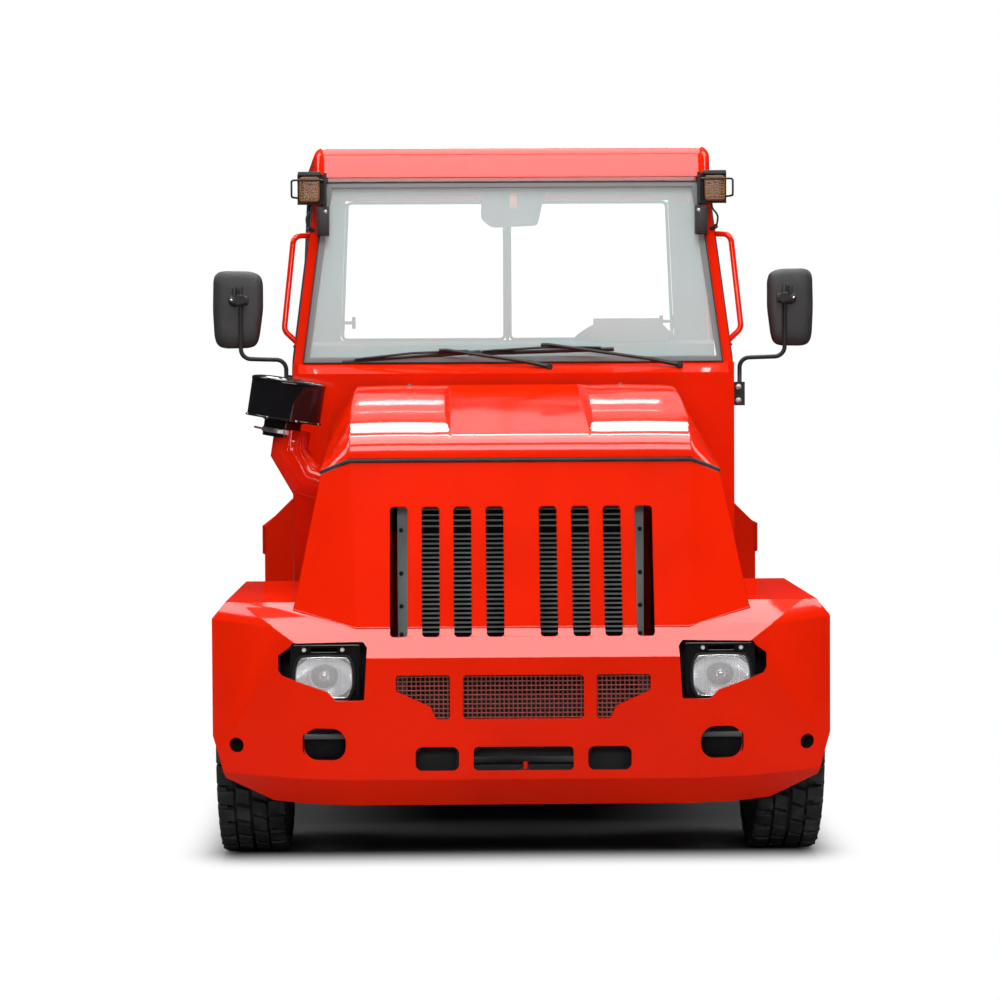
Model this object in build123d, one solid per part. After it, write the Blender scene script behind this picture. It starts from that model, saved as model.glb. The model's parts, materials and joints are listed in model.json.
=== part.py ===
"""Airport baggage tug: one STEP file per named piece, in one shared frame.

Millimetres. The ground is z = 0, the tug faces -Y and its left side is +X.
"""
from math import cos, radians, sin
import os

from build123d import *

# ---------------------------------------------------------------- dimensions
HALF_WIDTH = 824            # bumper and front fenders
FRONT_Y = -1550             # front face of the bumper
REAR_Y = 1550               # tip of the rear hitch
PLATE = 8                   # welded bumper plate
SHEET = 5                   # nose and hood sheet
CHIN_Z = 283                # where the bumper face folds under
CHIN_RUN = 90               # how far the slanted chin runs back
SIDE_TOP_Z = 686            # top of the bumper sides, below the fenders
FENDER_Z = 735              # fender top plate
FRONT_AXLE_Y = -880
REAR_AXLE_Y = 870
FRONT_TYRE_R = 336
REAR_TYRE_R = 352
FRONT_TRACK_HALF = 735
REAR_TRACK_HALF = 675
FRONT_TYRE_W = 186
REAR_TYRE_W = 210
KINGPIN_X = 600
STEER_ARM = 140             # length of both steering arms, so they stay parallel
RAIL_Z0, RAIL_Z1 = 430, 540
RAIL_IN, RAIL_OUT = 300, 370
SEAM_Z = 1103               # hood seam at the front
SEAM_SIDE_Z = 1070          # hood seam along the sides
HOOD_GAP = 8
HOOD_REAR_Y = -452
HOOD_AXIS = (-446, 1284)     # hinge axis of the hood: y, z
HOOD_HALF = 534             # hood half width along the seam
HOOD_TOP_HALF = 462         # hood half width at the top fold
REAR_HALF = 785             # rear bodywork half width
CAB_FRONT_Y = -420
CAB_REAR_Y = 650
FLOOR_Z = 580
SILL_Z = 1370               # bottom of the windscreen opening
HEADER_Z = 1925             # underside of the roof
ROOF_Z = 2020
DECK_Z = 940
WHEEL_CENTRE = (348, -50, 1380)     # steering wheel
COLUMN_TILT = 40            # column angle from the vertical, degrees
HITCH_PIN_Y = 1508
HITCH_BORE_R = 16.5
MIRROR_HEADS = ((824, 1), (-824, -1))       # x of each head, and its side


# ------------------------------------------------------------------- helpers
def prism_x(points, x0, x1):
    """Extrude a (y, z) outline from x0 to x1."""
    wire = Wire.make_polygon([(x0, y, z) for y, z in points], close=True)
    return extrude(Face(wire), amount=x1 - x0, dir=(1, 0, 0))


def prism_y(points, y0, y1):
    """Extrude an (x, z) outline from y0 to y1."""
    wire = Wire.make_polygon([(x, y0, z) for x, z in points], close=True)
    return extrude(Face(wire), amount=y1 - y0, dir=(0, 1, 0))


def prism_z(points, z0, z1):
    """Extrude an (x, y) outline from z0 to z1."""
    wire = Wire.make_polygon([(x, y, z0) for x, y in points], close=True)
    return extrude(Face(wire), amount=z1 - z0, dir=(0, 0, 1))


def mirrored(points):
    """Close a half outline, given from the centre outward, about x = 0."""
    return points + [(-x, z) for x, z in reversed(points) if x > 0]


def box(x0, x1, y0, y1, z0, z1):
    """Make a box from its limits."""
    middle = ((x0 + x1) / 2, (y0 + y1) / 2, (z0 + z1) / 2)
    return Pos(*middle) * Box(abs(x1 - x0), abs(y1 - y0), abs(z1 - z0))


def cyl(axis, centre, radius, length):
    """Make a cylinder centred on a point, along "x", "y" or "z"."""
    turn = {"x": Rot(0, 90, 0), "y": Rot(90, 0, 0), "z": Rot(0, 0, 0)}[axis]
    return Pos(*centre) * turn * Cylinder(radius, length)


def rod(start, end, radius):
    """Make a round rod between two points."""
    line = Line(start, end)
    return extrude(Plane(origin=start, z_dir=line % 0) * Circle(radius), amount=line.length)


def tube(points, radius, bend):
    """Sweep a round tube along a bent path."""
    path = FilletPolyline(*points, radius=bend)
    return sweep(Plane(origin=path @ 0, z_dir=path % 0) * Circle(radius), path=path)


def frustum(lower, z0, upper, z1):
    """Loft between two (x, y) outlines of equal corner count."""
    low = Face(Wire.make_polygon([(x, y, z0) for x, y in lower], close=True))
    high = Face(Wire.make_polygon([(x, y, z1) for x, y in upper], close=True))
    return loft([low, high], ruled=True)


def span_y(front, y0, back, y1):
    """Loft between two (x, z) outlines of equal corner count."""
    near = Face(Wire.make_polygon([(x, y0, z) for x, z in front], close=True))
    far = Face(Wire.make_polygon([(x, y1, z) for x, z in back], close=True))
    return loft([near, far], ruled=True)


def slab_y(width, height, radius, centre, y0, y1):
    """Make a plate in the XZ plane with rounded corners."""
    plane = Plane(origin=(centre[0], y1, centre[1]), x_dir=(1, 0, 0), z_dir=(0, -1, 0))
    return extrude(plane * RectangleRounded(width, height, radius), amount=y1 - y0)


def rounded_y(points, radius, y0, y1):
    """Extrude an (x, z) outline with rounded corners from y0 to y1."""
    face = Face(Wire.make_polygon([(x, z, 0) for x, z in points], close=True))
    face = fillet(face.vertices(), radius)
    plane = Plane(origin=(0, y1, 0), x_dir=(1, 0, 0), z_dir=(0, -1, 0))
    return extrude(plane * face, amount=y1 - y0)


def both(shape):
    """Join a shape and its mirror image about the centre plane."""
    return shape + mirror(shape, about=Plane.YZ)


def join(shapes):
    """Fuse a list of shapes."""
    total = shapes[0]
    for shape in shapes[1:]:
        total = total + shape
    return total


# -------------------------------------------------------------------- bumper
# plan corner: x, y, and how far each moves in and back per millimetre of inset
PLAN_HALF = [(450, -1550, 0.133, 1.0), (590, -1512, 0.445, 0.915), (HALF_WIDTH, -1342, 1.0, 0.502)]
# upper profile of the bumper in two facets: y, z, and its fall per millimetre of inset
UPPER_FOLDS = [(-1550, 601, 0.4), (-1460, 681, 1.25), (-1375, FENDER_Z, 1.2)]
LAMP_HOLE = [(601, 637), (417, 640), (406, 626), (414, 491), (487, 489), (510, 512),
             (632, 551), (640, 564), (640, 603), (611, 624)]
CENTRE_SCREEN = [(157, 441), (157, 555)]
SIDE_SCREEN = [(191, 441), (227, 441), (241, 473), (331, 514), (331, 555), (191, 555)]


def bumper_plan(inset):
    """Return the bumper's plan outline, run far back, moved in by inset."""
    half = [(x - inset * k, y + inset * m) for x, y, k, m in PLAN_HALF]
    half += [(HALF_WIDTH - inset, -900)]
    return half + [(-x, y) for x, y in reversed(half)]


def corner_facet(inset):
    """Return the cutter that leaves the three-cornered facet on each shoulder."""
    origin = (HALF_WIDTH - 0.54 * inset, -1342 + 0.78 * inset, 688 - 0.33 * inset)
    plane = Plane(origin=origin, z_dir=(0.539, -0.776, 0.328))
    return both(extrude(plane * Rectangle(700, 700), amount=260))


def bumper_volume(inset, back_y, low_z):
    """Fold the bumper from its plan: upright face, two upper facets, slanted chin."""
    plan = bumper_plan(inset)
    fold = CHIN_Z + inset * 0.4
    body = prism_z(plan, fold, 760)
    run = inset + CHIN_RUN * (fold - low_z) / (CHIN_Z - 205)
    body += frustum(bumper_plan(run), low_z, plan, fold)
    side = [(y + (inset if z < 610 else 0), z - inset * fall) for y, z, fall in UPPER_FOLDS]
    side += [(back_y, FENDER_Z - inset * 1.2), (back_y, low_z), (-1560, low_z), (-1560, 560)]
    body = body & prism_x(side, -900, 900)
    if inset:
        front = [(0, low_z), (HALF_WIDTH - inset, low_z), (HALF_WIDTH - inset, 690 - inset * 0.4)]
        front += [(787 - inset * 0.4, FENDER_Z - inset), (0, FENDER_Z - inset)]
    else:
        front = [(0, 205), (661, 205), (790, 265), (803, 312), (HALF_WIDTH, 378)]
        front += [(HALF_WIDTH, 690), (787, FENDER_Z), (0, FENDER_Z)]
    body = body & both(prism_y(front, -1600, back_y))
    return body - corner_facet(inset)


def grille_slots():
    """Return the eight upright slots that cross the chin fold."""
    slots = []
    for x in (70.5, 156, 240, 324):
        slots.append(slab_y(46, 335, 10, (x, 817.5), -1560, -1330))
    return both(join(slots))


def bumper_openings():
    """Return the cutters for lamps, screens, slots and holes."""
    cuts = [rounded_y(LAMP_HOLE, 6, -1600, -1440)]
    cuts.append(rounded_y(SIDE_SCREEN, 7, -1600, -1500))
    cuts.append(slab_y(113, 62, 18, (224.5, 337), -1600, -1500))
    cuts.append(slab_y(109, 83, 36, (517, 375), -1600, -1450))
    cuts.append(cyl("y", (757, -1450, 358), 19.5, 300))
    shape = both(join(cuts))
    shape += slab_y(2 * CENTRE_SCREEN[1][0], 114, 10, (0, 498), -1600, -1500)
    return shape + slab_y(260, 62, 12, (0, 337), -1600, -1500)


def front_bumper():
    """Build the folded bumper shell, open behind and below."""
    shell = bumper_volume(0, -1300, 205) - bumper_volume(PLATE, -1250, 150)
    shell -= box(-900, 900, -1342, -1200, SIDE_TOP_Z, 800)
    shell -= nose_volume(-1)
    shell -= bumper_openings()
    return shell - grille_slots()


def bumper_screens():
    """Build the plates that carry the wire mesh behind the bumper openings."""
    plates = box(-170, 170, -1541, -1537, 430, 566)
    side = [(186, 436), (222, 428), (341, 503), (341, 566), (186, 566)]
    return plates + both(prism_y(side, -1541, -1537))


# ------------------------------------------------------------ nose and hood
def nose_section(z, inset):
    """Return the nose outline at one height, open to the rear."""
    front = -1470 + 0.325 * (z - 672) + inset * 1.05
    side_x = 600 - 0.2 * (z - 735) - inset * 1.03
    side_y = -1400 + 0.26 * (z - 735) + inset * 0.6
    rear = CAB_FRONT_Y - 1 if inset <= 0 else CAB_FRONT_Y + 60
    bend_x = 436 + 18 * (z - 654) / 449 - inset * 0.3
    half = [(0, front), (bend_x, front), (side_x, side_y)]
    half += [(side_x, rear)]
    return half + [(-x, y) for x, y in reversed(half) if x > 0]


def nose_volume(inset):
    """Loft the nose between two heights."""
    return frustum(nose_section(640, inset), 640, nose_section(1110, inset), 1110)


def seam_cutter(drop):
    """Return everything above the hood seam, lowered by drop."""
    half = [(0, SEAM_Z - drop), (454, SEAM_Z - drop), (538, SEAM_SIDE_Z - drop)]
    half += [(700, SEAM_SIDE_Z - drop), (700, 1500), (0, 1500)]
    return both(prism_y(half, -1700, 0))


def nose_shell():
    """Build the grille panel with both side panels."""
    shell = nose_volume(0) - nose_volume(SHEET)
    shell -= seam_cutter(0)
    chin = [(-1600, 556.5), (-1550, 601), (-1460, 681), (-1375, FENDER_Z)]
    chin += [(-300, FENDER_Z), (-300, 500), (-1600, 500)]
    shell -= prism_x(chin, -900, 900)
    return shell - grille_slots()


def hood_side(z_front, z_back, inset, lift):
    """Loft the hood's sloped flanks between the front and rear sections."""
    def section(top):
        slope = (HOOD_HALF - HOOD_TOP_HALF) / (top - SEAM_SIDE_Z)
        low = HOOD_HALF + slope * lift - inset
        high = HOOD_HALF - slope * (1450 - SEAM_SIDE_Z) - inset
        return [(-low, SEAM_SIDE_Z - lift), (low, SEAM_SIDE_Z - lift), (high, 1450), (-high, 1450)]
    return span_y(section(z_front), -1400, section(z_back), -300)


def hood_volume(inset):
    """Shape the hood: nose band, crowned flanks, sunk centre channel."""
    back = HOOD_REAR_Y if inset == 0 else HOOD_REAR_Y + 40
    front, tip, rear = -1333 + inset, (-1268, 1180 - inset), (HOOD_REAR_Y, 1305 - inset)
    lines = Line((0, back, 1040), (0, front, 1040)) + Line((0, front, 1040), (0, front, 1106))
    lines += ThreePointArc((0, front, 1106), (0, -1316 + inset * 0.8, 1153 - inset * 0.5), (0, *tip))
    lines += ThreePointArc((0, *tip), (0, -880, 1272 - inset), (0, *rear))
    lines += Line((0, *rear), (0, back + 0.01, rear[1])) + Line((0, back + 0.01, rear[1]), (0, back, 1040))
    body = extrude(make_face(lines), amount=620, both=True)
    body = body & hood_side(1178, 1305, inset, 30)
    corner = [(0, -1340 + inset), (454 - inset * 0.3, -1340 + inset)]
    corner += [(552 - inset * 0.5, -1288 + inset * 0.9), (600, -1200), (600, back), (0, back)]
    body = body & both(prism_z(corner, 1000, 1400))
    start = (-1270, 1178 - inset)
    slope = (1305 - 1178) / (1270 - 452)
    end = (-430, start[1] + slope * 840)
    floor = [(start[0] - 200, start[1] - slope * 200), end]
    wide = 186 + inset
    near = [(-wide, floor[0][1]), (wide, floor[0][1]), (wide + 48, floor[0][1] + 90)]
    near += [(-wide - 48, floor[0][1] + 90)]
    far = [(x, z - floor[0][1] + floor[1][1]) for x, z in near]
    channel = span_y(near, floor[0][0], far, floor[1][0])
    return body - channel


def hood():
    """Build the hinged hood as a sheet shell."""
    shell = hood_volume(0) - hood_volume(SHEET)
    half = [(0, SEAM_Z + HOOD_GAP), (454, SEAM_Z + HOOD_GAP), (538, SEAM_SIDE_Z + HOOD_GAP)]
    half += [(700, SEAM_SIDE_Z + HOOD_GAP), (700, 900), (0, 900)]
    shell -= both(prism_y(half, -1700, 0))
    hinge = box(250, 320, -520, HOOD_AXIS[0] - 8, HOOD_AXIS[1] - 3, HOOD_AXIS[1] + 3)
    hinge += box(250, 320, -520, -500, HOOD_AXIS[1] - 3, 1302)
    hinge += cyl("x", (285, *HOOD_AXIS), 9, 70)
    return shell + both(hinge) - both(cyl("x", (285, *HOOD_AXIS), 5, 90))


def hood_hinges():
    """Build the hinge pins and brackets that carry the hood on the cab wall."""
    bracket = box(233, 245, -458, CAB_FRONT_Y, 1268, 1292)
    bracket += box(325, 337, -458, CAB_FRONT_Y, 1268, 1292)
    bracket -= box(200, 360, -470, -434, 1250, 1276)
    return both(bracket + cyl("x", (285, *HOOD_AXIS), 4, 104))


def hood_seal():
    """Build the rubber strip along the top edge of the nose."""
    ring = nose_volume(1) - nose_volume(SHEET + 14)
    low = seam_cutter(-3)
    return (ring & seam_cutter(0) & box(-700, 700, -1400, CAB_FRONT_Y - 2, 900, 1200)) - low


# ------------------------------------------------------------------ fenders
def front_fenders():
    """Build the plates over the front wheels with their outer lips."""
    outer = [(596, FENDER_Z), (787, FENDER_Z), (HALF_WIDTH, 690), (812, 688), (784, 729), (596, 729)]
    plate = prism_y(outer, -1341, -535)
    seat = [(596, 729), (604, 729), (604, 700), (596, 700)]
    return both(plate + prism_y(seat, -1341, -535))


# ------------------------------------------------------------------- engine
def radiator():
    """Build the radiator core with its slats and side posts."""
    core = box(-300, 300, -1270, -1200, 560, 1010)
    parts = [core, both(box(300, 330, -1285, -1190, 560, 1010))]
    heights = [990 - 15 * i for i in range(5)] + [908 - 12.5 * i for i in range(22)]
    for z in heights:
        parts.append(box(-299, 299, -1280, -1269, z - 2.2, z + 2.2))
    parts.append(both(box(300, 330, -1230, -1200, 540, 560)))
    return join(parts)


def engine_block():
    """Build the engine and gearbox as one plain block."""
    block = box(-230, 230, -1120, -560, 560, 900)
    block += box(-120, 120, -1080, -640, 900, 1010)
    block += box(-160, 160, -1120, -480, 440, 560)
    block += cyl("y", (0, -1142, 760), 190, 50)
    return block + box(-296, 296, -980, -900, 545, 575) + box(-296, 296, -660, -600, 545, 575)


def air_elbow():
    """Build the mitred intake pipe from the pre-cleaner to the nose."""
    path = Polyline((-639, -700, 1180), (-649, -700, 1116), (-605, -700, 1040), (-520, -700, 1015))
    plane = Plane(origin=path @ 0, z_dir=path % 0)
    pipe = sweep(plane * Circle(52), path=path, transition=Transition.RIGHT)
    return pipe - nose_volume(0) - precleaner()


def precleaner():
    """Build the tilted canister with its domed lid and neck."""
    body = Cylinder(106, 92) + Pos(0, 0, -50) * Cylinder(112, 8) + Pos(0, 0, 46) * Cylinder(107, 8)
    body += Pos(0, 0, 54) * Cone(107, 92, 8) + Pos(0, 0, 60) * Cone(92, 40, 5)
    body += Pos(0, 0, -66) * Cone(54, 70, 24) + Pos(0, 0, -84) * Cylinder(56, 14)
    return Pos(-657, -700, 1276) * Rot(0, 9, 0) * body


# ----------------------------------------------------------------- chassis
def chassis_frame():
    """Build the two rails and their outriggers."""
    rails = both(box(RAIL_IN, RAIL_OUT, -1536, 1441, RAIL_Z0, RAIL_Z1))
    rails += both(box(345, 400, -1541.5, -1500, RAIL_Z0, RAIL_Z1))
    parts = [rails]
    parts.append(both(box(RAIL_IN, RAIL_OUT, -470, 660, RAIL_Z1, 560)))
    parts.append(both(box(RAIL_OUT, REAR_HALF - 8, 330, 390, 470, 520)))
    parts.append(both(box(RAIL_OUT, REAR_HALF - 8, 1340, 1400, 470, 520)))
    parts.append(both(box(RAIL_OUT, 690, -440, -400, 500, 560)))
    parts.append(both(box(RAIL_OUT, HALF_WIDTH - PLATE, -1333, -1303, 500, 540)))
    return join(parts)


def frame_crossmembers():
    """Build the cross members between the rails."""
    rows = ((-1240, -1180), (-470, -400), (280, 350), (1160, 1220), (1395, 1441))
    return join([box(-RAIL_IN, RAIL_IN, y0, y1, RAIL_Z0 + 5, RAIL_Z1 - 5) for y0, y1 in rows])


def spring_pack(y):
    """Build one leaf spring with its hangers, centred on an axle."""
    length = 300
    leaves = [(-length, 0), (-150, -26), (150, -26), (length, 0), (length, 9)]
    leaves += [(150, -17), (110, 6), (-110, 6), (-150, -17), (-length, 9)]
    pack = prism_x([(y + a, 414 + b) for a, b in leaves], 310, 360)
    pack += box(310, 360, y - 60, y + 60, 388, 414)
    for end in (-length, length):
        pack += box(306, 364, y + end - 22, y + end + 22, 400, 430)
    return pack


def leaf_springs():
    """Build all four leaf springs."""
    return both(spring_pack(FRONT_AXLE_Y) + spring_pack(REAR_AXLE_Y)) - rear_axle()


def front_axle():
    """Build the axle beam with a bored eye at each kingpin."""
    z = FRONT_TYRE_R
    beam = box(0, 575, -915, -845, z - 32, z + 24)
    eye = cyl("z", (KINGPIN_X, FRONT_AXLE_Y, z), 42, 60)
    pad = box(300, 370, -940, -820, z + 24, 388)
    body = beam + eye + pad - cyl("z", (KINGPIN_X, FRONT_AXLE_Y, z), 23, 100)
    return both(body)


def knuckle(side):
    """Build one steering knuckle: yoke, kingpin, spindle and arm."""
    z = FRONT_TYRE_R
    x = KINGPIN_X
    parts = [cyl("z", (x, FRONT_AXLE_Y, z), 17, 100)]
    for height in (z - 50, z + 36):
        parts.append(cyl("z", (x, FRONT_AXLE_Y, height + 7), 40, 14))
        parts.append(box(x, x + 64, -910, -850, height, height + 14))
    parts.append(box(x + 48, x + 64, -910, -850, z - 50, z + 50))
    parts.append(cyl("x", (x + 105, FRONT_AXLE_Y, z), 24, 90))
    arm_y = FRONT_AXLE_Y + STEER_ARM
    parts.append(box(x - 17, x + 17, -880, arm_y, z - 50, z - 36))
    parts.append(cyl("z", (x, arm_y, z - 43), 17, 14))
    parts.append(cyl("z", (x, arm_y, z - 62), 8, 30))
    body = join(parts)
    return body if side > 0 else mirror(body, about=Plane.YZ)


def tie_rod():
    """Build the rod between both steering arms, with an eye at each end."""
    z = FRONT_TYRE_R - 66
    y = FRONT_AXLE_Y + STEER_ARM
    body = cyl("x", (0, y, z), 11, 1160)
    for x in (-KINGPIN_X, KINGPIN_X):
        body += cyl("z", (x, y, z), 24, 18)
    for x in (-KINGPIN_X, KINGPIN_X):
        body -= cyl("z", (x, y, z), 14, 60)
    return body


def rear_axle():
    """Build the driven axle tube with its differential and drums."""
    z = REAR_TYRE_R
    tube_part = cyl("x", (0, REAR_AXLE_Y, z), 42, 1180)
    case = Pos(0, REAR_AXLE_Y, z) * Sphere(120)
    nose = cyl("y", (0, REAR_AXLE_Y - 150, z), 60, 120)
    drums = both(cyl("x", (550, REAR_AXLE_Y, z), 110, 60))
    stubs = both(cyl("x", (630, REAR_AXLE_Y, z), 24, 110))
    pads = both(box(300, 370, 810, 930, z, 388))
    return tube_part + case + nose + drums + stubs + pads


def tyre(x, y, radius, width):
    """Revolve one tyre about its axle."""
    half = width / 2
    rim = 152
    outline = [(rim, -half + 26), (rim + 14, -half + 10), (rim + 70, -half)]
    outline += [(radius - 62, -half + 2), (radius - 12, -half + 12), (radius, -half + 34)]
    outline += [(radius, half - 34), (radius - 12, half - 12), (radius - 62, half - 2)]
    outline += [(rim + 70, half), (rim + 14, half - 10), (rim, half - 26)]
    face = Face(Wire.make_polygon([(b, 0, a) for a, b in outline], close=True))
    ring = revolve(face, axis=Axis.X, revolution_arc=360)
    return Pos(x, y, radius) * ring


def rim(x, y, radius, side):
    """Build one steel wheel with a dished, vented disc and a hub."""
    profile = [(151, -72), (151, -60), (136, -48), (136, 48), (151, 60), (151, 72)]
    profile += [(145, 72), (145, 62), (130, 50), (130, -50), (145, -62), (145, -72)]
    face = Face(Wire.make_polygon([(b, 0, a) for a, b in profile], close=True))
    barrel = revolve(face, axis=Axis.X, revolution_arc=360)
    disc = Pos(26, 0, 0) * Rot(0, 90, 0) * Cylinder(134, 9)
    for turn in range(8):
        angle = radians(22.5 + 45 * turn)
        disc -= Pos(26, 104 * cos(angle), 104 * sin(angle)) * Rot(0, 90, 0) * Cylinder(15, 20)
    hub = Pos(28, 0, 0) * Rot(0, 90, 0) * Cylinder(58, 66)
    hub -= Pos(0, 0, 0) * Rot(0, 90, 0) * Cylinder(30, 84)
    body = barrel + disc + hub
    body = body if side > 0 else mirror(body, about=Plane.YZ)
    return Pos(x, y, radius) * body


# ---------------------------------------------------------------------- cab
def cab_plan(z, inset):
    """Return the cab outline, wider at the rear and leaning in with height."""
    lean = max(0, z - 940) / 985
    front = 653 - 56 * max(0, (z - 1370) / 555) - inset
    rear = 690 - 37 * lean - inset
    return front, rear


def cab_body():
    """Build the floor, front wall, cowl, sills and lower rear wall."""
    f, r = 653, 690
    outline = [(-f, CAB_FRONT_Y), (f, CAB_FRONT_Y), (r, CAB_REAR_Y), (-r, CAB_REAR_Y)]
    body = prism_z(outline, 560, 600)
    front = [(-f, CAB_FRONT_Y), (f, CAB_FRONT_Y), (f + 1, CAB_FRONT_Y + 18)]
    front += [(-f - 1, CAB_FRONT_Y + 18)]
    body += prism_z(front, 560, 1340)
    cowl = [(CAB_FRONT_Y, 1325), (CAB_FRONT_Y, 1340), (-357, SILL_Z), (-300, SILL_Z)]
    cowl += [(-300, 1352), (-360, 1352)]
    body += prism_x(cowl, -653, 653)
    quarter = [(f - 16, CAB_FRONT_Y), (f, CAB_FRONT_Y), (f + 4, -300), (f - 12, -300)]
    body += both(prism_z(quarter, 560, SILL_Z))
    rear = [(-r + 1, CAB_REAR_Y - 30), (r - 1, CAB_REAR_Y - 30), (r, CAB_REAR_Y)]
    rear += [(-r, CAB_REAR_Y)]
    body += prism_z(rear, 700, 940)
    body += box(-560, 560, CAB_REAR_Y - 30, CAB_REAR_Y, 560, 700)
    upper = prism_y([(-689, 940), (689, 940), (671, 1430), (-671, 1430)], 620, CAB_REAR_Y)
    body += upper
    seat_box = box(-640, 640, 180, 621, 600, 860)
    body += seat_box - box(-620, 620, 200, 600, 560, 840)
    return body - both(cyl("x", (700, REAR_AXLE_Y, REAR_TYRE_R), 385, 290))


def cab_frame():
    """Build the pillars, the header and the rear window surround."""
    low = [(626, -357), (653, -357), (653, -300), (626, -300)]
    high = [(556, -287), (583, -287), (583, -230), (556, -230)]
    parts = [both(frustum(low, SILL_Z, high, HEADER_Z))]
    post_low = [(600, 590), (671, 590), (671, 650), (600, 650)]
    post_high = [(590, 590), (653, 590), (653, 650), (590, 650)]
    parts.append(both(frustum(post_low, 1430, post_high, HEADER_Z)))
    parts.append(box(-558, 558, -287, -240, HEADER_Z - 12, HEADER_Z))
    bars = [(0, 1430), (600, 1430), (590, HEADER_Z), (0, HEADER_Z)]
    hole = [(0, 1445), (552, 1445), (532, 1908), (0, 1908)]
    parts.append(both(prism_y(bars, 622, 650) - prism_y(hole, 600, 700)))
    rail = [(545, -240), (583, -240), (652, 600), (614, 600)]
    parts.append(both(prism_z(rail, HEADER_Z - 30, HEADER_Z)))
    return join(parts)


def roof():
    """Build the roof pan with rounded top edges and a lined hollow."""
    outline = [(-592, -300), (592, -300), (660, 670), (-660, 670)]
    pan = prism_z(outline, HEADER_Z, ROOF_Z)
    pan = fillet(pan.edges().filter_by(Axis.Z), 38)
    pan = fillet(pan.faces().sort_by(Axis.Z)[-1].edges(), 34)
    inner = [(-552, -262), (552, -262), (618, 630), (-618, 630)]
    return pan - prism_z(inner, HEADER_Z - 5, ROOF_Z - 30)


def windscreen():
    """Build the front glass."""
    half = [(-624, 1372), (624, 1372), (555, HEADER_Z - 14), (-555, HEADER_Z - 14)]
    pane = prism_y(half, -400, -200)
    slab = prism_x([(-352, 1371), (-346, 1371), (-276, 1925), (-282, 1925)], -700, 700)
    return pane & slab


def rear_windows():
    """Build the two rear panes with the meeting bar and latches."""
    pane = prism_y([(10, 1446), (551, 1446), (531, 1907), (10, 1907)], 632, 637)
    latch = box(14, 40, 618, 632, 1482, 1496) + box(20, 28, 618, 632, 1470, 1510)
    bar = box(-8, 8, 626, 644, 1446, 1907)
    return both(pane + latch) + bar


def dashboard():
    """Build the dashboard with its sloped panel."""
    profile = [(-335, 1368), (-335, 1424), (-290, 1436), (-215, 1424), (-170, 1340)]
    profile += [(-190, 1180), (-300, 1140), (-401, 1140), (-401, 1340), (-350, 1350)]
    return prism_x(profile, -600, 600) - cab_body() - steering_column()


def steering_axis():
    """Return the unit vector up the steering column."""
    tilt = radians(COLUMN_TILT)
    return (0, sin(tilt), cos(tilt))


def along_column(distance):
    """Return a point on the column axis, measured from the wheel centre."""
    axis = steering_axis()
    return tuple(c + distance * a for c, a in zip(WHEEL_CENTRE, axis))


def steering_column():
    """Build the column tube below the steering wheel."""
    return rod(along_column(-240), along_column(-46), 32)


def steering_wheel():
    """Build the steering wheel: rim, three spokes and hub."""
    ring = Torus(172, 14)
    hub = Pos(0, 0, -16) * Cylinder(42, 34)
    body = ring + hub
    for turn in (90, 210, 330):
        body += Rot(0, 0, turn) * Pos(100, 0, -8) * Box(150, 26, 8)
    return Plane(origin=WHEEL_CENTRE, z_dir=steering_axis(), x_dir=(1, 0, 0)) * body


def seat_bases():
    """Build the suspension boxes under both seats."""
    return both(box(180, 520, 230, 560, 860, 905))


def seat_cushions():
    """Build the seat squabs."""
    block = box(125, 571, 150, 560, 905, 1010)
    block = fillet(block.edges().filter_by(Axis.Z), 50)
    block = fillet(block.faces().sort_by(Axis.Z)[-1].edges(), 22)
    return both(block)


def seat_backs():
    """Build the seat backs, leaning rearward."""
    block = Pos(348, 550, 1215) * Rot(-8, 0, 0) * Box(430, 80, 400)
    block = fillet(block.edges().filter_by(lambda e: abs((e % 0).Y) > 0.9), 50)
    return both(block)


def pedals():
    """Build the three pedals with their arms."""
    parts = []
    for x, width in ((250, 60), (345, 60), (450, 46)):
        parts.append(box(x - width / 2, x + width / 2, -322, -310, 640, 720))
        parts.append(box(x - 8, x + 8, -402, -316, 700, 716))
    return join(parts)


def wipers():
    """Build both wiper arms with their blades."""
    parts = []
    for x in (106, 493):
        pivot = (x, -368, 1362)
        elbow = (x - 330, -366, 1396)
        parts.append(cyl("y", (x, -383, 1358), 11, 22))
        parts.append(rod((x, -390, 1360), (x - 320, -376, 1392), 5))
        parts.append(rod((x - 320, -376, 1392), (x - 320, -362, 1394), 4))
        parts.append(rod((x - 560, -362, 1380), (x - 90, -362, 1410), 6))
    return join(parts) - cab_body() - windscreen()


# ------------------------------------------------------ lamps, mirrors, rails
def headlamps():
    """Build the black lamp housings behind the bumper openings."""
    body = slab_y(236, 176, 20, (523, 556), -1486, -1480)
    body += slab_y(172, 126, 26, (520, 545), -1498, -1410)
    body -= slab_y(160, 114, 24, (520, 545), -1520, -1430)
    return both(body) & bumper_volume(PLATE, -1250, 150)


def headlamp_lenses():
    """Build the lamp glasses, slightly domed."""
    glass = slab_y(156, 110, 24, (520, 545), -1504, -1484)
    dome = Pos(520, -1504 + 400, 545) * Sphere(400)
    return both(glass & dome) & bumper_volume(PLATE, -1250, 150)


def fog_lamps():
    """Build the small lamps behind the oval openings."""
    body = slab_y(128, 102, 44, (517, 375), -1530, -1470)
    return both(body) - bumper_volume(0, -1300, 210) + both(body) & bumper_volume(PLATE, -1250, 150)


def turn_lamps():
    """Build the amber lamps on the front pillars."""
    lamp = slab_y(64, 80, 9, (603, 1888), -356, -318)
    return both(fillet(lamp.faces().sort_by(Axis.Y)[0].edges(), 5))


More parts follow.
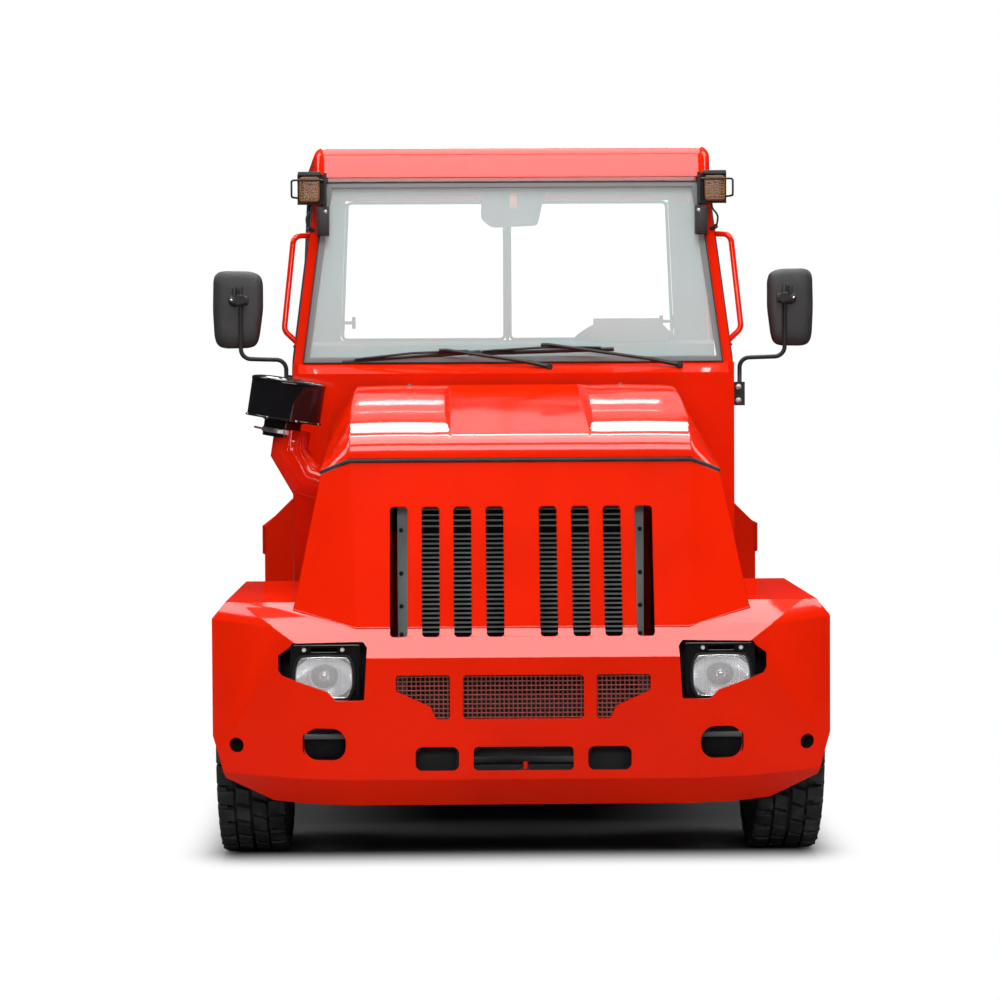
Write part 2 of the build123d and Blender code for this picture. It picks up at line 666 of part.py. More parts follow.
def lamp_guards():
    """Build the brackets, wire guards and black boxes by the turn lamps."""
    parts = [box(553, 640, -318, -312, 1844, 1934), box(553, 560, -352, -312, 1842, 1936)]
    parts.append(box(562, 592, -318, -262, 1856, 1900))
    parts.append(box(569, 637, -348, -312, 1928.5, 1936))
    guard = [(562, -350, 1914), (562, -366, 1914), (655, -366, 1914), (655, -366, 1864), (640, -315, 1864)]
    parts.append(tube(guard, 3, 7))
    parts.append(box(546, 583, -332, -298, 1752, 1838))
    return both(join(parts)) - cab_frame() - windscreen() - turn_lamps()


def grab_handles():
    """Build the tube handles on the front pillars."""
    path = [(596, -285, 1754), (652, -318, 1752), (682, -330, 1470), (640, -325, 1430)]
    return both(tube(path, 8.5, 28)) - cab_frame()


def mirror_arms():
    """Build the bent tubes that carry the outer mirrors."""
    parts = []
    for x_head, side in MIRROR_HEADS:
        inner = side * 676
        path = [(inner, -340, 1262), (inner, -345, 1382), (x_head - side * 14, -350, 1386)]
        path += [(x_head - side * 14, -352, 1600)]
        parts.append(tube(path, 6.5, 30))
        parts.append(box(side * 652, side * 690, -362, -318, 1240, 1310))
        parts.append(cyl("y", (x_head - side * 14, -351, 1560), 17, 33))
    return join(parts) - cab_body()


def mirror_heads():
    """Build the outer mirror heads."""
    parts = []
    for x_head, _ in MIRROR_HEADS:
        head = slab_y(152, 234, 26, (x_head, 1532), -334, -290)
        parts.append(fillet(head.faces().sort_by(Axis.Y)[0].edges(), 14))
    return join(parts)


def cab_mirror():
    """Build the inside mirror on its bracket."""
    head = slab_y(190, 126, 26, (0, 1843), -160, -140)
    top = HEADER_Z - 12
    return head + box(-14, 14, -162, -150, 1850, top) + box(-14, 14, -262, -150, top - 12, top)


# --------------------------------------------------------------------- rear
def rear_profile(inset):
    """Return half the rear body outline."""
    half = [(0, 420 - inset * 9), (REAR_HALF - inset, 420 - inset * 9)]
    half += [(REAR_HALF - inset, 855 - inset * 0.4)]
    half += [(700 - inset * 0.4, 939 - inset), (0, 939 - inset)]
    return half


def rear_body():
    """Build the rear bodywork with its wheel arches."""
    outer = both(prism_y(rear_profile(0), 300, 1450))
    inner = both(prism_y(rear_profile(8), 308, 1442))
    shell = outer - inner
    shell -= both(prism_y([(0, 300), (692, 300), (692, 1100), (0, 1100)], 200, 652))
    arch = cyl("x", (750, REAR_AXLE_Y, REAR_TYRE_R), 420, 240)
    shell -= both(arch)
    shell -= box(-640, 640, 200, 1600, 300, 440)
    return shell - box(-112, 112, 1400, 1500, 300, 562)


def rear_cap():
    """Build the trim strips along the top of the rear body."""
    strip = [(REAR_HALF, 765), (REAR_HALF + 7, 768), (REAR_HALF + 7, 857), (REAR_HALF, 855)]
    return both(prism_y(strip, 296, 1454))


def side_steps():
    """Build the entry steps on both sides."""
    tread = box(560, 780, -420, 300, 400, 420)
    riser = box(560, 572, -399, 300, 400, 560)
    return both(tread + riser + box(560, 780, -420, -410, 400, 440))


def tow_hitch():
    """Build the stepped rear hitch with its pin bores."""
    back = box(-110, 110, 1441, 1461, 335, 560)
    parts = [back]
    for z in (345, 425, 505):
        plate = box(-75, 75, 1460, 1505, z, z + 20)
        plate += Pos(0, 1475, z + 10) * Cylinder(75, 20)
        plate &= box(-80, 80, 1455, 1700, z - 5, z + 25)
        parts.append(plate)
    body = join(parts)
    return body - cyl("z", (0, HITCH_PIN_Y, 440), HITCH_BORE_R, 300)


def front_crossmember():
    """Build the dark plates that close the frame behind the lower slots."""
    body = box(-RAIL_IN, RAIL_IN, -1488, -1478, 335, 500) + box(-RAIL_IN, RAIL_IN, -1500, -1478, 440, 500)
    body += both(box(165, RAIL_IN, -1488, -1478, 285, 335))
    body += box(-160, 160, -1524, -1478, 302, 318) + both(box(150, 175, -1524, -1478, 285, 400))
    tongue = box(-9, 19, -1541, -1524, 302, 308)
    return body + tongue - cyl("z", (5, -1532, 309), 8.6, 100) + cyl("z", (5, -1532, 305), 8.6, 6) - cyl("z", (5, -1532, 305), 6, 20)


def front_tow_pin():
    """Build the small front pin with its collars."""
    pin = cyl("z", (5, -1532, 309), 6, 36)
    return pin + cyl("z", (5, -1532, 310), 8, 4) + cyl("z", (5, -1532, 299), 8, 6)


def tail_lamps():
    """Build the rear lamp clusters."""
    return both(slab_y(90, 190, 8, (722, 650), 1450, 1472))


def side_tank(side):
    """Build the tank on one side of the frame, with its straps and filler."""
    body = box(RAIL_OUT, 545, -370, 230, 352, 552)
    body = fillet(body.edges().filter_by(Axis.Y), 24)
    for y in (-260, 100):
        strap = box(RAIL_OUT, 549, y, y + 40, 348, 556)
        body += fillet(strap.edges().filter_by(Axis.Y), 26)
    if side > 0:
        return body + rod((500, -300, 560), (522, -306, 596), 28) - box(0, 900, -500, 500, 558, 700)
    lid = box(-540, -RAIL_OUT - 6, -360, 220, 552, 558)
    return mirror(body, about=Plane.YZ) + lid


def exhaust():
    """Build the muffler below the frame with its front and side pipes."""
    body = cyl("y", (-190, -90, 336), 72, 480)
    for y in (-322, 142):
        body += cyl("y", (-190, y, 336), 76, 12)
    body += tube([(-190, -320, 336), (-190, -630, 336), (-190, -630, 545)], 22, 60)
    body += tube([(-190, 140, 300), (-190, 252, 300), (-640, 252, 300)], 22, 60)
    for y in (-300, 100):
        body += box(-200, -180, y, y + 20, 400, 438) + box(-RAIL_IN, -180, y, y + 20, 430, 438)
    return body


# ------------------------------------------------------------------- output
def pieces():
    """Return every node name with its shape."""
    table = {
        "chassis_frame": chassis_frame(),
        "frame_crossmembers": frame_crossmembers(),
        "front_bumper": front_bumper(),
        "bumper_screens": bumper_screens(),
        "front_fenders": front_fenders(),
        "nose_shell": nose_shell(),
        "radiator": radiator(),
        "hood": hood(),
        "hood_hinges": hood_hinges(),
        "hood_seal": hood_seal(),
        "engine_block": engine_block(),
        "air_elbow": air_elbow(),
        "precleaner": precleaner(),
        "cab_body": cab_body(),
        "cab_frame": cab_frame(),
        "roof": roof(),
        "windscreen": windscreen(),
        "rear_windows": rear_windows(),
        "dashboard": dashboard(),
        "steering_column": steering_column(),
        "steering_wheel": steering_wheel(),
        "seat_bases": seat_bases(),
        "seat_cushions": seat_cushions(),
        "seat_backs": seat_backs(),
        "pedals": pedals(),
        "wipers": wipers(),
        "headlamps": headlamps(),
        "headlamp_lenses": headlamp_lenses(),
        "fog_lamps": fog_lamps(),
        "turn_lamps": turn_lamps(),
        "lamp_guards": lamp_guards(),
        "grab_handles": grab_handles(),
        "mirror_arms": mirror_arms(),
        "mirror_heads": mirror_heads(),
        "cab_mirror": cab_mirror(),
        "rear_body": rear_body(),
        "rear_cap": rear_cap(),
        "side_steps": side_steps(),
        "tail_lamps": tail_lamps(),
        "tow_hitch": tow_hitch(),
        "front_crossmember": front_crossmember(),
        "front_tow_pin": front_tow_pin(),
        "fuel_tank": side_tank(1),
        "battery_box": side_tank(-1),
        "exhaust": exhaust(),
        "front_axle": front_axle(),
        "rear_axle": rear_axle(),
        "leaf_springs": leaf_springs(),
        "knuckle_left": knuckle(1),
        "knuckle_right": knuckle(-1),
        "tie_rod": tie_rod(),
    }
    wheels = (
        ("front_left", FRONT_TRACK_HALF, FRONT_AXLE_Y, FRONT_TYRE_R, FRONT_TYRE_W),
        ("front_right", -FRONT_TRACK_HALF, FRONT_AXLE_Y, FRONT_TYRE_R, FRONT_TYRE_W),
        ("rear_left", REAR_TRACK_HALF, REAR_AXLE_Y, REAR_TYRE_R, REAR_TYRE_W),
        ("rear_right", -REAR_TRACK_HALF, REAR_AXLE_Y, REAR_TYRE_R, REAR_TYRE_W),
    )
    for name, x, y, radius, width in wheels:
        table["tyre_" + name] = tyre(x, y, radius, width)
        table["rim_" + name] = rim(x, y, radius, 1 if x > 0 else -1)
    return table


os.makedirs("parts", exist_ok=True)
for node, shape in pieces().items():
    export_step(shape, "parts/" + node + ".step")
    print(node, len(shape.solids()), round(shape.volume / 1000))
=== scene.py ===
"""Looks, lights and camera for the airport baggage tug.

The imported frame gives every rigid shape. This file adds what the frame leaves
out, such as tread, wire mesh, upholstery, lamp glass and fasteners, and gives
every surface a procedural finish. Units are metres; the tug faces -Y.
"""
from __future__ import annotations

import json
import logging
import math
from contextlib import contextmanager
from dataclasses import dataclass, field
from enum import Enum
from typing import Callable, Iterator, Sequence

import bmesh
import bpy
from mathutils import Matrix, Vector

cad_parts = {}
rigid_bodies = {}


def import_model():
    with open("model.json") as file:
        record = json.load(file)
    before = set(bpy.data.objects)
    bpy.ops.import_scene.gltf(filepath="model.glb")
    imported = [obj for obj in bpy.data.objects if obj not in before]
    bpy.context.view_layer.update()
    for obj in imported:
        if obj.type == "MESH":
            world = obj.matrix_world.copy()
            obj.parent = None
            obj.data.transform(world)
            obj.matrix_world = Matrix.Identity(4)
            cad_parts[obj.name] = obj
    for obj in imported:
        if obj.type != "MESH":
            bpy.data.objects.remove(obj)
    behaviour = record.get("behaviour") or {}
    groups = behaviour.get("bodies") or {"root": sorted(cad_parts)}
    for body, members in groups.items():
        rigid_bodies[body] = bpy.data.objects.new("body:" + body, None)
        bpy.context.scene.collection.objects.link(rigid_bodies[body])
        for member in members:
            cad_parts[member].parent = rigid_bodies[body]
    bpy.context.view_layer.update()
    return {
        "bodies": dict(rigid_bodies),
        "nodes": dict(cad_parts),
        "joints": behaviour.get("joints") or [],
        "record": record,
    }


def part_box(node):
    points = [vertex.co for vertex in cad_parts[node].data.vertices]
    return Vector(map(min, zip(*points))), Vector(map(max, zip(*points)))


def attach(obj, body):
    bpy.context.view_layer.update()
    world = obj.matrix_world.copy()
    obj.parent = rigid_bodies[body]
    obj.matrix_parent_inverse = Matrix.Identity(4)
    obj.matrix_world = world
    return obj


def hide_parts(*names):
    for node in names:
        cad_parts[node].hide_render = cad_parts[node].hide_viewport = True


LOG = logging.getLogger("tug")
Colour = tuple[float, float, float]
Point = tuple[float, float, float]
Flat = tuple[float, float]
Places = Sequence[tuple[Sequence[float], Matrix]]
Test = Callable[[Vector, Vector], bool]


class Side(Enum):
    """Which side of the tug a piece is on."""

    LEFT = 1
    RIGHT = -1

    @property
    def word(self) -> str:
        """Return the side's name in lower case."""
        return self.name.lower()


class Axis(Enum):
    """A direction to repeat a piece along."""

    X = (1.0, 0.0, 0.0)
    Y = (0.0, 1.0, 0.0)
    Z = (0.0, 0.0, 1.0)


# --------------------------------------------------------------- shader maths
class Value:
    """A number that varies over a surface, with Python's operators."""

    def __init__(self, surface: Surface, socket: bpy.types.NodeSocket) -> None:
        """Wrap one output socket of a surface's node tree."""
        self.surface = surface
        self.socket = socket

    def _math(self, operation: str, *others: Value | float, clamp: bool = False) -> Value:
        """Add a Math node.

        Args:
            operation: Blender's name of the operation.
            others: The second and third operands.
            clamp: Whether to hold the result between 0 and 1.

        Returns:
            The result as a new value.
        """
        settings = {"operation": operation, "use_clamp": clamp}
        inputs = dict(enumerate((self, *others)))
        return Value(self.surface, self.surface.node("ShaderNodeMath", settings, inputs).outputs[0])

    def __add__(self, other: Value | float) -> Value:
        """Return the sum."""
        return self._math("ADD", other)

    __radd__ = __add__

    def __sub__(self, other: Value | float) -> Value:
        """Return the difference."""
        return self._math("SUBTRACT", other)

    def __rsub__(self, other: float) -> Value:
        """Return a number less this value."""
        return self._math("MULTIPLY", -1.0)._math("ADD", other)

    def __mul__(self, other: Value | float) -> Value:
        """Return the product."""
        return self._math("MULTIPLY", other)

    __rmul__ = __mul__

    def __truediv__(self, other: Value | float) -> Value:
        """Return the quotient."""
        return self._math("DIVIDE", other)

    def __pow__(self, other: float) -> Value:
        """Return the power."""
        return self._math("POWER", other)

    def clamped(self) -> Value:
        """Return the value held between 0 and 1."""
        return self._math("ADD", 0.0, clamp=True)

    def ramp(self, low: float, high: float) -> Value:
        """Return 0 below low, 1 above high and a smooth rise between.

        Args:
            low: Where the rise starts.
            high: Where it ends.
        """
        settings = {"interpolation_type": "SMOOTHSTEP"}
        inputs = {"Value": self, "From Min": low, "From Max": high}
        return Value(self.surface, self.surface.node("ShaderNodeMapRange", settings, inputs).outputs[0])

    def positive(self) -> Value:
        """Return the value, or 0 where it is below 0."""
        return self._math("MAXIMUM", 0.0)

    def absolute(self) -> Value:
        """Return the value without its sign."""
        return self._math("ABSOLUTE")


class Surface:
    """One material under construction."""

    def __init__(self, name: str, world: bpy.types.World | None = None) -> None:
        """Start an empty node tree.

        Args:
            name: The material's name.
            world: A world to shade instead of a new material.
        """
        self.material = world or bpy.data.materials.new(name)
        self.material.use_nodes = True
        self.tree = self.material.node_tree
        self.tree.nodes.clear()

    def node(self, kind: str, settings: dict | None = None, inputs: dict | None = None) -> bpy.types.Node:
        """Add any node.

        Args:
            kind: The node's type.
            settings: Attributes of the node, set first.
            inputs: Values, sockets or wrapped values by socket name or number.

        Returns:
            The new node.
        """
        node = self.tree.nodes.new(kind)
        for key, setting in (settings or {}).items():
            if key == "stops":
                self._set_stops(node, setting)
            else:
                setattr(node, key, setting)
        for key, value in (inputs or {}).items():
            if value is None:
                continue
            socket = node.inputs[key]
            if isinstance(value, Value):
                value = value.socket
            if isinstance(value, bpy.types.NodeSocket):
                self.tree.links.new(value, socket)
            else:
                socket.default_value = value
        return node

    @staticmethod
    def _set_stops(node: bpy.types.Node, stops: Sequence[tuple[float, Colour]]) -> None:
        """Set a colour ramp's stops, given as (position, colour).

        Args:
            node: The colour ramp.
            stops: The position and colour of each stop.
        """
        elements = node.color_ramp.elements
        while len(elements) < len(stops):
            elements.new(1.0)
        for element, (position, colour) in zip(elements, stops):
            element.position = position
            element.color = (*colour, 1.0)

    def place(self, scale: Point = (1.0, 1.0, 1.0), turn: Point = (0.0, 0.0, 0.0)) -> bpy.types.NodeSocket:
        """Return Object coordinates, stretched and turned.

        Args:
            scale: How much each axis is stretched.
            turn: Rotation of the pattern, in radians.
        """
        source = self.node("ShaderNodeTexCoord").outputs["Object"]
        inputs = {"Vector": source, "Scale": scale, "Rotation": turn}
        return self.node("ShaderNodeMapping", None, inputs).outputs[0]

    def axis(self, name: str) -> Value:
        """Return one of the Object coordinates, "X", "Y" or "Z"."""
        source = self.node("ShaderNodeTexCoord").outputs["Object"]
        return Value(self, self.node("ShaderNodeSeparateXYZ", None, {0: source}).outputs[name])

    def noise(self, scale: float, detail: float = 3.0, rough: float = 0.5,
              vector: bpy.types.NodeSocket | None = None) -> Value:
        """Return a noise value between 0 and 1.

        Args:
            scale: Features per metre.
            detail: Number of octaves.
            rough: Strength of the finer octaves.
            vector: Coordinates to use instead of plain Object ones.
        """
        inputs = {"Vector": vector or self.place(), "Scale": scale, "Detail": detail, "Roughness": rough}
        return Value(self, self.node("ShaderNodeTexNoise", None, inputs).outputs[0])

    def cells(self, scale: float, feature: str = "F1", vector: bpy.types.NodeSocket | None = None) -> Value:
        """Return the distance to the nearest cell centre or edge."""
        inputs = {"Vector": vector or self.place(), "Scale": scale}
        return Value(self, self.node("ShaderNodeTexVoronoi", {"feature": feature}, inputs).outputs["Distance"])

    def blend(self, mask: Value | float, first: object, second: object) -> bpy.types.NodeSocket:
        """Mix two colours.

        Args:
            mask: 0 gives the first colour, 1 the second.
            first: A colour or a colour socket.
            second: A colour or a colour socket.

        Returns:
            The mixed colour's socket.
        """
        pair = [(*c, 1.0) if isinstance(c, tuple) else c for c in (first, second)]
        inputs = {0: mask, 6: pair[0], 7: pair[1]}
        return self.node("ShaderNodeMix", {"data_type": "RGBA"}, inputs).outputs[2]

    def bump(self, height: Value, strength: float, distance: float,
             normal: bpy.types.NodeSocket | None = None) -> bpy.types.NodeSocket:
        """Return a normal raised by a height value.

        Args:
            height: The relief, 0 to 1.
            strength: How much of it shows.
            distance: The relief's depth in metres.
            normal: A normal to start from.
        """
        inputs = {"Height": height, "Strength": strength, "Distance": distance, "Normal": normal}
        return self.node("ShaderNodeBump", None, inputs).outputs[0]

    def rounded(self, radius: float) -> bpy.types.NodeSocket:
        """Return a normal that softens edges to a radius in metres."""
        return self.node("ShaderNodeBevel", {"samples": 4}, {"Radius": radius}).outputs[0]

    def finish(self, **sockets: object) -> bpy.types.Material:
        """Close the material with a Principled shader.

        Args:
            sockets: Socket names with underscores for spaces, and their values.

        Returns:
            The finished material.
        """
        inputs = {}
        for key, value in sockets.items():
            if isinstance(value, tuple) and len(value) == 3:
                value = (*value, 1.0)
            inputs[key.replace("_", " ")] = value
        shader = self.node("ShaderNodeBsdfPrincipled", None, inputs)
        self.node("ShaderNodeOutputMaterial", None, {"Surface": shader.outputs[0]})
        return self.material


# ------------------------------------------------------------------- finishes
@dataclass(frozen=True)
class GlossPaint:
    """Sprayed gloss enamel over folded sheet, with faint dust and orange peel."""

    name: str
    colour: Colour
    edge: float = 0.004
    peel: float = 0.03

    def make(self) -> bpy.types.Material:
        """Return the material."""
        s = Surface(self.name)
        cloud = s.noise(2.2, 4.0)
        deep = tuple(c * 0.86 for c in self.colour)
        base = s.blend(cloud.ramp(0.35, 0.7), self.colour, deep)
        dust = s.noise(9.0, 6.0, 0.62).ramp(0.52, 0.8) * 0.025
        base = s.blend(dust, base, (0.42, 0.10, 0.06))
        rough = 0.26 + dust * 1.6 + s.noise(38.0, 3.0) * 0.05
        waves = s.noise(3.2, 2.0) * 0.75 + s.noise(420.0, 2.0) * 0.004
        normal = s.bump(waves, self.peel * 1.3, 0.02, s.rounded(self.edge))
        return s.finish(Base_Color=base, Roughness=rough, Normal=normal, Specular_IOR_Level=0.0,
                        Coat_Weight=0.7, Coat_Roughness=0.08, Coat_IOR=1.5)


@dataclass(frozen=True)
class SatinPaint:
    """Thin satin paint on steel, a little dusty and rubbed through in random patches."""

    name: str
    colour: Colour
    rough: float = 0.45
    wear: float = 0.25
    metal: Colour = (0.33, 0.33, 0.34)
    dust: float = 0.22
    shine: float = 0.5

    def make(self) -> bpy.types.Material:
        """Return the material."""
        s = Surface(self.name)
        dust = s.noise(14.0, 6.0, 0.65).ramp(0.45, 0.8) * self.dust
        base = s.blend(dust, self.colour, (0.20, 0.18, 0.16))
        chip = s.noise(120.0, 5.0, 0.7).ramp(0.66, 0.72) * self.wear
        base = s.blend(chip, base, self.metal)
        rough = (self.rough + dust * 0.8 + s.noise(60.0, 3.0) * 0.08).clamped()
        normal = s.bump(s.noise(260.0, 3.0), 0.12, 0.001, s.rounded(0.0018))
        return s.finish(Base_Color=base, Roughness=rough, Normal=normal, Metallic=chip,
                        Specular_IOR_Level=self.shine)


@dataclass(frozen=True)
class Plastic:
    """Moulded plastic with a fine pebbled grain."""

    name: str
    colour: Colour
    rough: float = 0.48
    grain: float = 900.0
    depth: float = 0.25

    def make(self) -> bpy.types.Material:
        """Return the material."""
        s = Surface(self.name)
        pebble = s.cells(self.grain).ramp(0.1, 0.6)
        dust = s.noise(11.0, 5.0, 0.6).ramp(0.5, 0.85) * 0.14
        base = s.blend(dust, self.colour, (0.16, 0.155, 0.15))
        rough = (self.rough + dust + pebble * 0.06).clamped()
        normal = s.bump(pebble, self.depth, 0.0004, s.rounded(0.002))
        return s.finish(Base_Color=base, Roughness=rough, Normal=normal)


@dataclass(frozen=True)
class Rubber:
    """Black rubber with patches of dust."""

    name: str
    colour: Colour = (0.016, 0.016, 0.017)
    dust: float = 0.35

    def make(self) -> bpy.types.Material:
        """Return the material."""
        s = Surface(self.name)
        film = s.noise(16.0, 6.0, 0.65).ramp(0.4, 0.8) * self.dust
        base = s.blend(film, self.colour, (0.085, 0.078, 0.07))
        rough = (0.62 + film * 0.5 + s.noise(90.0, 2.0) * 0.06).clamped()
        normal = s.bump(s.noise(330.0, 4.0), 0.2, 0.0008)
        return s.finish(Base_Color=base, Roughness=rough, Normal=normal)


@dataclass(frozen=True)
class Metal:
    """Bare or plated metal, with an optional painted glow."""

    name: str
    colour: Colour
    rough: float = 0.25
    stains: float = 0.35
    glow: float = 0.0

    def make(self) -> bpy.types.Material:
        """Return the material."""
        s = Surface(self.name)
        grain = s.noise(180.0, 3.0, 0.6)
        stain = s.noise(24.0, 4.0).ramp(0.45, 0.8)
        base = s.blend(stain * self.stains, self.colour, tuple(c * 0.6 for c in self.colour))
        rough = (self.rough + (stain * 0.12 + grain * 0.08) * (self.stains * 2.8)).clamped()
        normal = s.bump(grain, 0.23 * self.stains, 0.0005, s.rounded(0.001))
        return s.finish(Base_Color=base, Roughness=rough, Normal=normal, Metallic=1.0,
                        Emission_Color=self.colour, Emission_Strength=self.glow)


@dataclass(frozen=True)
class PaleGlass:
    """Cab glass: a pale veil that glows, painted over what is behind it as the glass's bright reflection, with
    sharp reflections.
    """

    name: str
    veil: float
    colour: Colour = (0.93, 0.97, 0.96)
    glow: float = 0.22

    def make(self) -> bpy.types.Material:
        """Return the material."""
        s = Surface(self.name)
        smear = s.noise(5.0, 4.0).ramp(0.3, 0.8) * 0.05
        # painted reflection: a pale, partly opaque layer over the interior, which also glows
        return s.finish(Base_Color=self.colour, Roughness=smear + 0.02, Alpha=self.veil,
                        Specular_IOR_Level=0.3, IOR=1.45, Emission_Color=self.colour,
                        Emission_Strength=self.glow)


@dataclass(frozen=True)
class LensGlass:
    """Moulded lamp glass or plastic lens, partly clear."""

    name: str
    colour: Colour
    body: float
    haze: float = 0.08
    gloss: float = 0.7

    def make(self) -> bpy.types.Material:
        """Return the material."""
        s = Surface(self.name)
        haze = s.noise(30.0, 4.0).ramp(0.4, 0.8) * self.haze
        return s.finish(Base_Color=self.colour, Roughness=0.06 + haze, Alpha=(self.body + haze).clamped(),
                        Specular_IOR_Level=self.gloss, Coat_Weight=self.gloss * 0.85, Coat_Roughness=0.03)


@dataclass(frozen=True)
class Cover:
    """Seat cover: grained vinyl with worn, slightly shiny patches."""

    name: str
    colour: Colour

    def make(self) -> bpy.types.Material:
        """Return the material."""
        s = Surface(self.name)
        grain = s.cells(420.0).ramp(0.05, 0.55)
        wear = s.noise(7.0, 4.0).ramp(0.45, 0.8)
        base = s.blend(wear * 0.25, self.colour, (0.07, 0.068, 0.066))
        rough = (0.56 - wear * 0.14 + grain * 0.08).clamped()
        folds = s.bump(s.noise(22.0, 3.0), 0.25, 0.003)
        return s.finish(Base_Color=base, Roughness=rough, Normal=s.bump(grain, 0.3, 0.0006, folds))


Finish = GlossPaint | SatinPaint | Plastic | Rubber | Metal | PaleGlass | LensGlass | Cover


# ----------------------------------------------------------------- the studio
@dataclass(frozen=True)
class Studio:
    """A pale floor with a darker pool painted under the tug as its shadow, soft lights and the camera."""

    camera_at: Point = (-0.169, -9.45, 1.334)
    lens: float = 109.84
    aim_right: float = 42.8
    aim_down: float = 125.0
    focal: float = 3051.0
    roll: float = 0.3
    shadow_x: float = 0.78
    shadow_front: float = 0.90
    shadow_rear: float = 1.35

    def build(self) -> None:
        """Make the floor, world, lamps and camera."""
        self._floor()
        self._world()
        self._lamps()
        self._camera()
        bpy.context.scene.view_settings.view_transform = "Standard"

    def _floor(self) -> None:
        """Make the floor: it keeps the rendered shadow, has a darker pool painted under the tug as extra
        shadow, is painted dark in reflections and fades to white.
        """
        bpy.ops.mesh.primitive_plane_add(size=40.0, location=(0.0, 0.0, -0.001))
        floor = bpy.context.object
        floor.name = "studio_floor"
        s = Surface("studio_floor")
        white = s.node("ShaderNodeEmission", None, {"Color": (1.0, 1.0, 1.0, 1.0), "Strength": 1.0})
        x, y = s.axis("X"), s.axis("Y")
        out_x = ((x.absolute() - self.shadow_x).positive() / 0.20) ** 2.0
        front = ((y * -1.0 - self.shadow_front).positive() / 0.34) ** 2.0
        rear = ((y - self.shadow_rear).positive() / 0.20) ** 2.0
        far = ((out_x + front + rear) ** 0.5).ramp(0.0, 1.0)
        # painted shadow: inside a rounded box under the tug the floor's own colour is made dark
        painted_shadow_tone = s.blend(far, (0.11, 0.11, 0.11), (0.44, 0.44, 0.44))
        matte = s.node("ShaderNodeBsdfDiffuse", None, {"Color": painted_shadow_tone})
        # painted shade: glossy rays see the floor far darker than the camera does
        dim = s.node("ShaderNodeBsdfDiffuse", None, {"Color": (0.05, 0.05, 0.05, 1.0)})
        glossy = Value(s, s.node("ShaderNodeLightPath").outputs["Is Glossy Ray"])
        near = s.node("ShaderNodeMixShader", None, {0: glossy, 1: matte.outputs[0], 2: dim.outputs[0]})
        camera = Value(s, s.node("ShaderNodeLightPath").outputs["Is Camera Ray"])
        mixed = s.node("ShaderNodeMixShader", None, {0: far * camera, 1: near.outputs[0], 2: white.outputs[0]})
        s.node("ShaderNodeOutputMaterial", None, {"Surface": mixed.outputs[0]})
        floor.data.materials.append(s.material)

    def _world(self) -> None:
        """Make the world: a soft dome, brighter above, and white where it is seen."""
        world = bpy.data.worlds.new("studio")
        bpy.context.scene.world = world
        s = Surface("studio", world)
        way = s.node("ShaderNodeTexCoord").outputs["Generated"]
        height = s.node("ShaderNodeSeparateXYZ", None, {0: way}).outputs["Z"]
        span = {"Value": height, "From Min": 0.45, "From Max": 0.90, "To Min": 0.03, "To Max": 0.60}
        dome = s.node("ShaderNodeMapRange", {"interpolation_type": "SMOOTHSTEP"}, span).outputs[0]
        soft = s.node("ShaderNodeBackground", None, {"Color": (0.93, 0.96, 1.0, 1.0), "Strength": dome})
        white = s.node("ShaderNodeBackground", None, {"Color": (1.0, 1.0, 1.0, 1.0), "Strength": 1.0})
        seen = s.node("ShaderNodeLightPath").outputs["Is Camera Ray"]
        mixed = s.node("ShaderNodeMixShader", None, {0: seen, 1: soft.outputs[0], 2: white.outputs[0]})
        s.node("ShaderNodeOutputWorld", None, {0: mixed.outputs[0]})

    def _lamps(self) -> None:
        """Make the soft boxes: above, at both sides, behind and low in front."""
        table = (
            # name, place, aim, width, height, watts
            ("key", (0.0, -5.0, 6.6), (0.0, -0.9, 0.9), 4.4, 2.6, 305.0),
            ("overhead", (0.0, -0.5, 5.8), (0.0, -0.5, 0.8), 3.4, 3.6, 290.0),
            ("crest", (0.0, 2.7, 5.7), (0.0, -1.2, 1.2), 3.6, 1.5, 230.0),
            ("left_box", (4.8, -0.5, 5.4), (0.0, 0.2, 0.8), 2.4, 3.4, 170.0),
            ("right_box", (-4.8, -0.5, 5.4), (0.0, 0.2, 0.8), 2.4, 3.4, 170.0),
            ("low_front", (0.0, -6.7, 2.32), (0.0, -1.5, 0.4), 5.0, 0.8, 120.0),
            ("rear_box", (0.0, 6.0, 5.0), (0.0, 0.8, 1.0), 3.6, 2.2, 260.0),
        )
        for name, place, aim, width, height, watts in table:
            light = bpy.data.lights.new(name, "AREA")
            light.shape = "RECTANGLE"
            light.size, light.size_y = width, height
            light.energy = watts
            lamp = bpy.data.objects.new(name, light)
            lamp.location = place
            way = Vector(aim) - Vector(place)
            lamp.rotation_euler = way.to_track_quat("-Z", "Y").to_euler()
            bpy.context.scene.collection.objects.link(lamp)

    def _camera(self) -> None:
        """Make the camera."""
        data = bpy.data.cameras.new("camera")
        data.lens = self.lens
        data.sensor_width = 36.0
        data.clip_end = 100.0
        camera = bpy.data.objects.new("camera", data)
        camera.location = self.camera_at
        way = Vector((self.aim_right, self.focal, -self.aim_down)).normalized()
        turn = way.to_track_quat("-Z", "Y").to_matrix()
        camera.rotation_euler = (turn @ about("Z", -self.roll)).to_euler()
        bpy.context.scene.collection.objects.link(camera)
        bpy.context.scene.camera = camera


# ------------------------------------------------------------------ modelling
def deselect() -> None:
    """Leave edit mode and deselect everything."""
    if bpy.context.object and bpy.context.object.mode != "OBJECT":
        bpy.ops.object.mode_set(mode="OBJECT")
    bpy.ops.object.select_all(action="DESELECT")


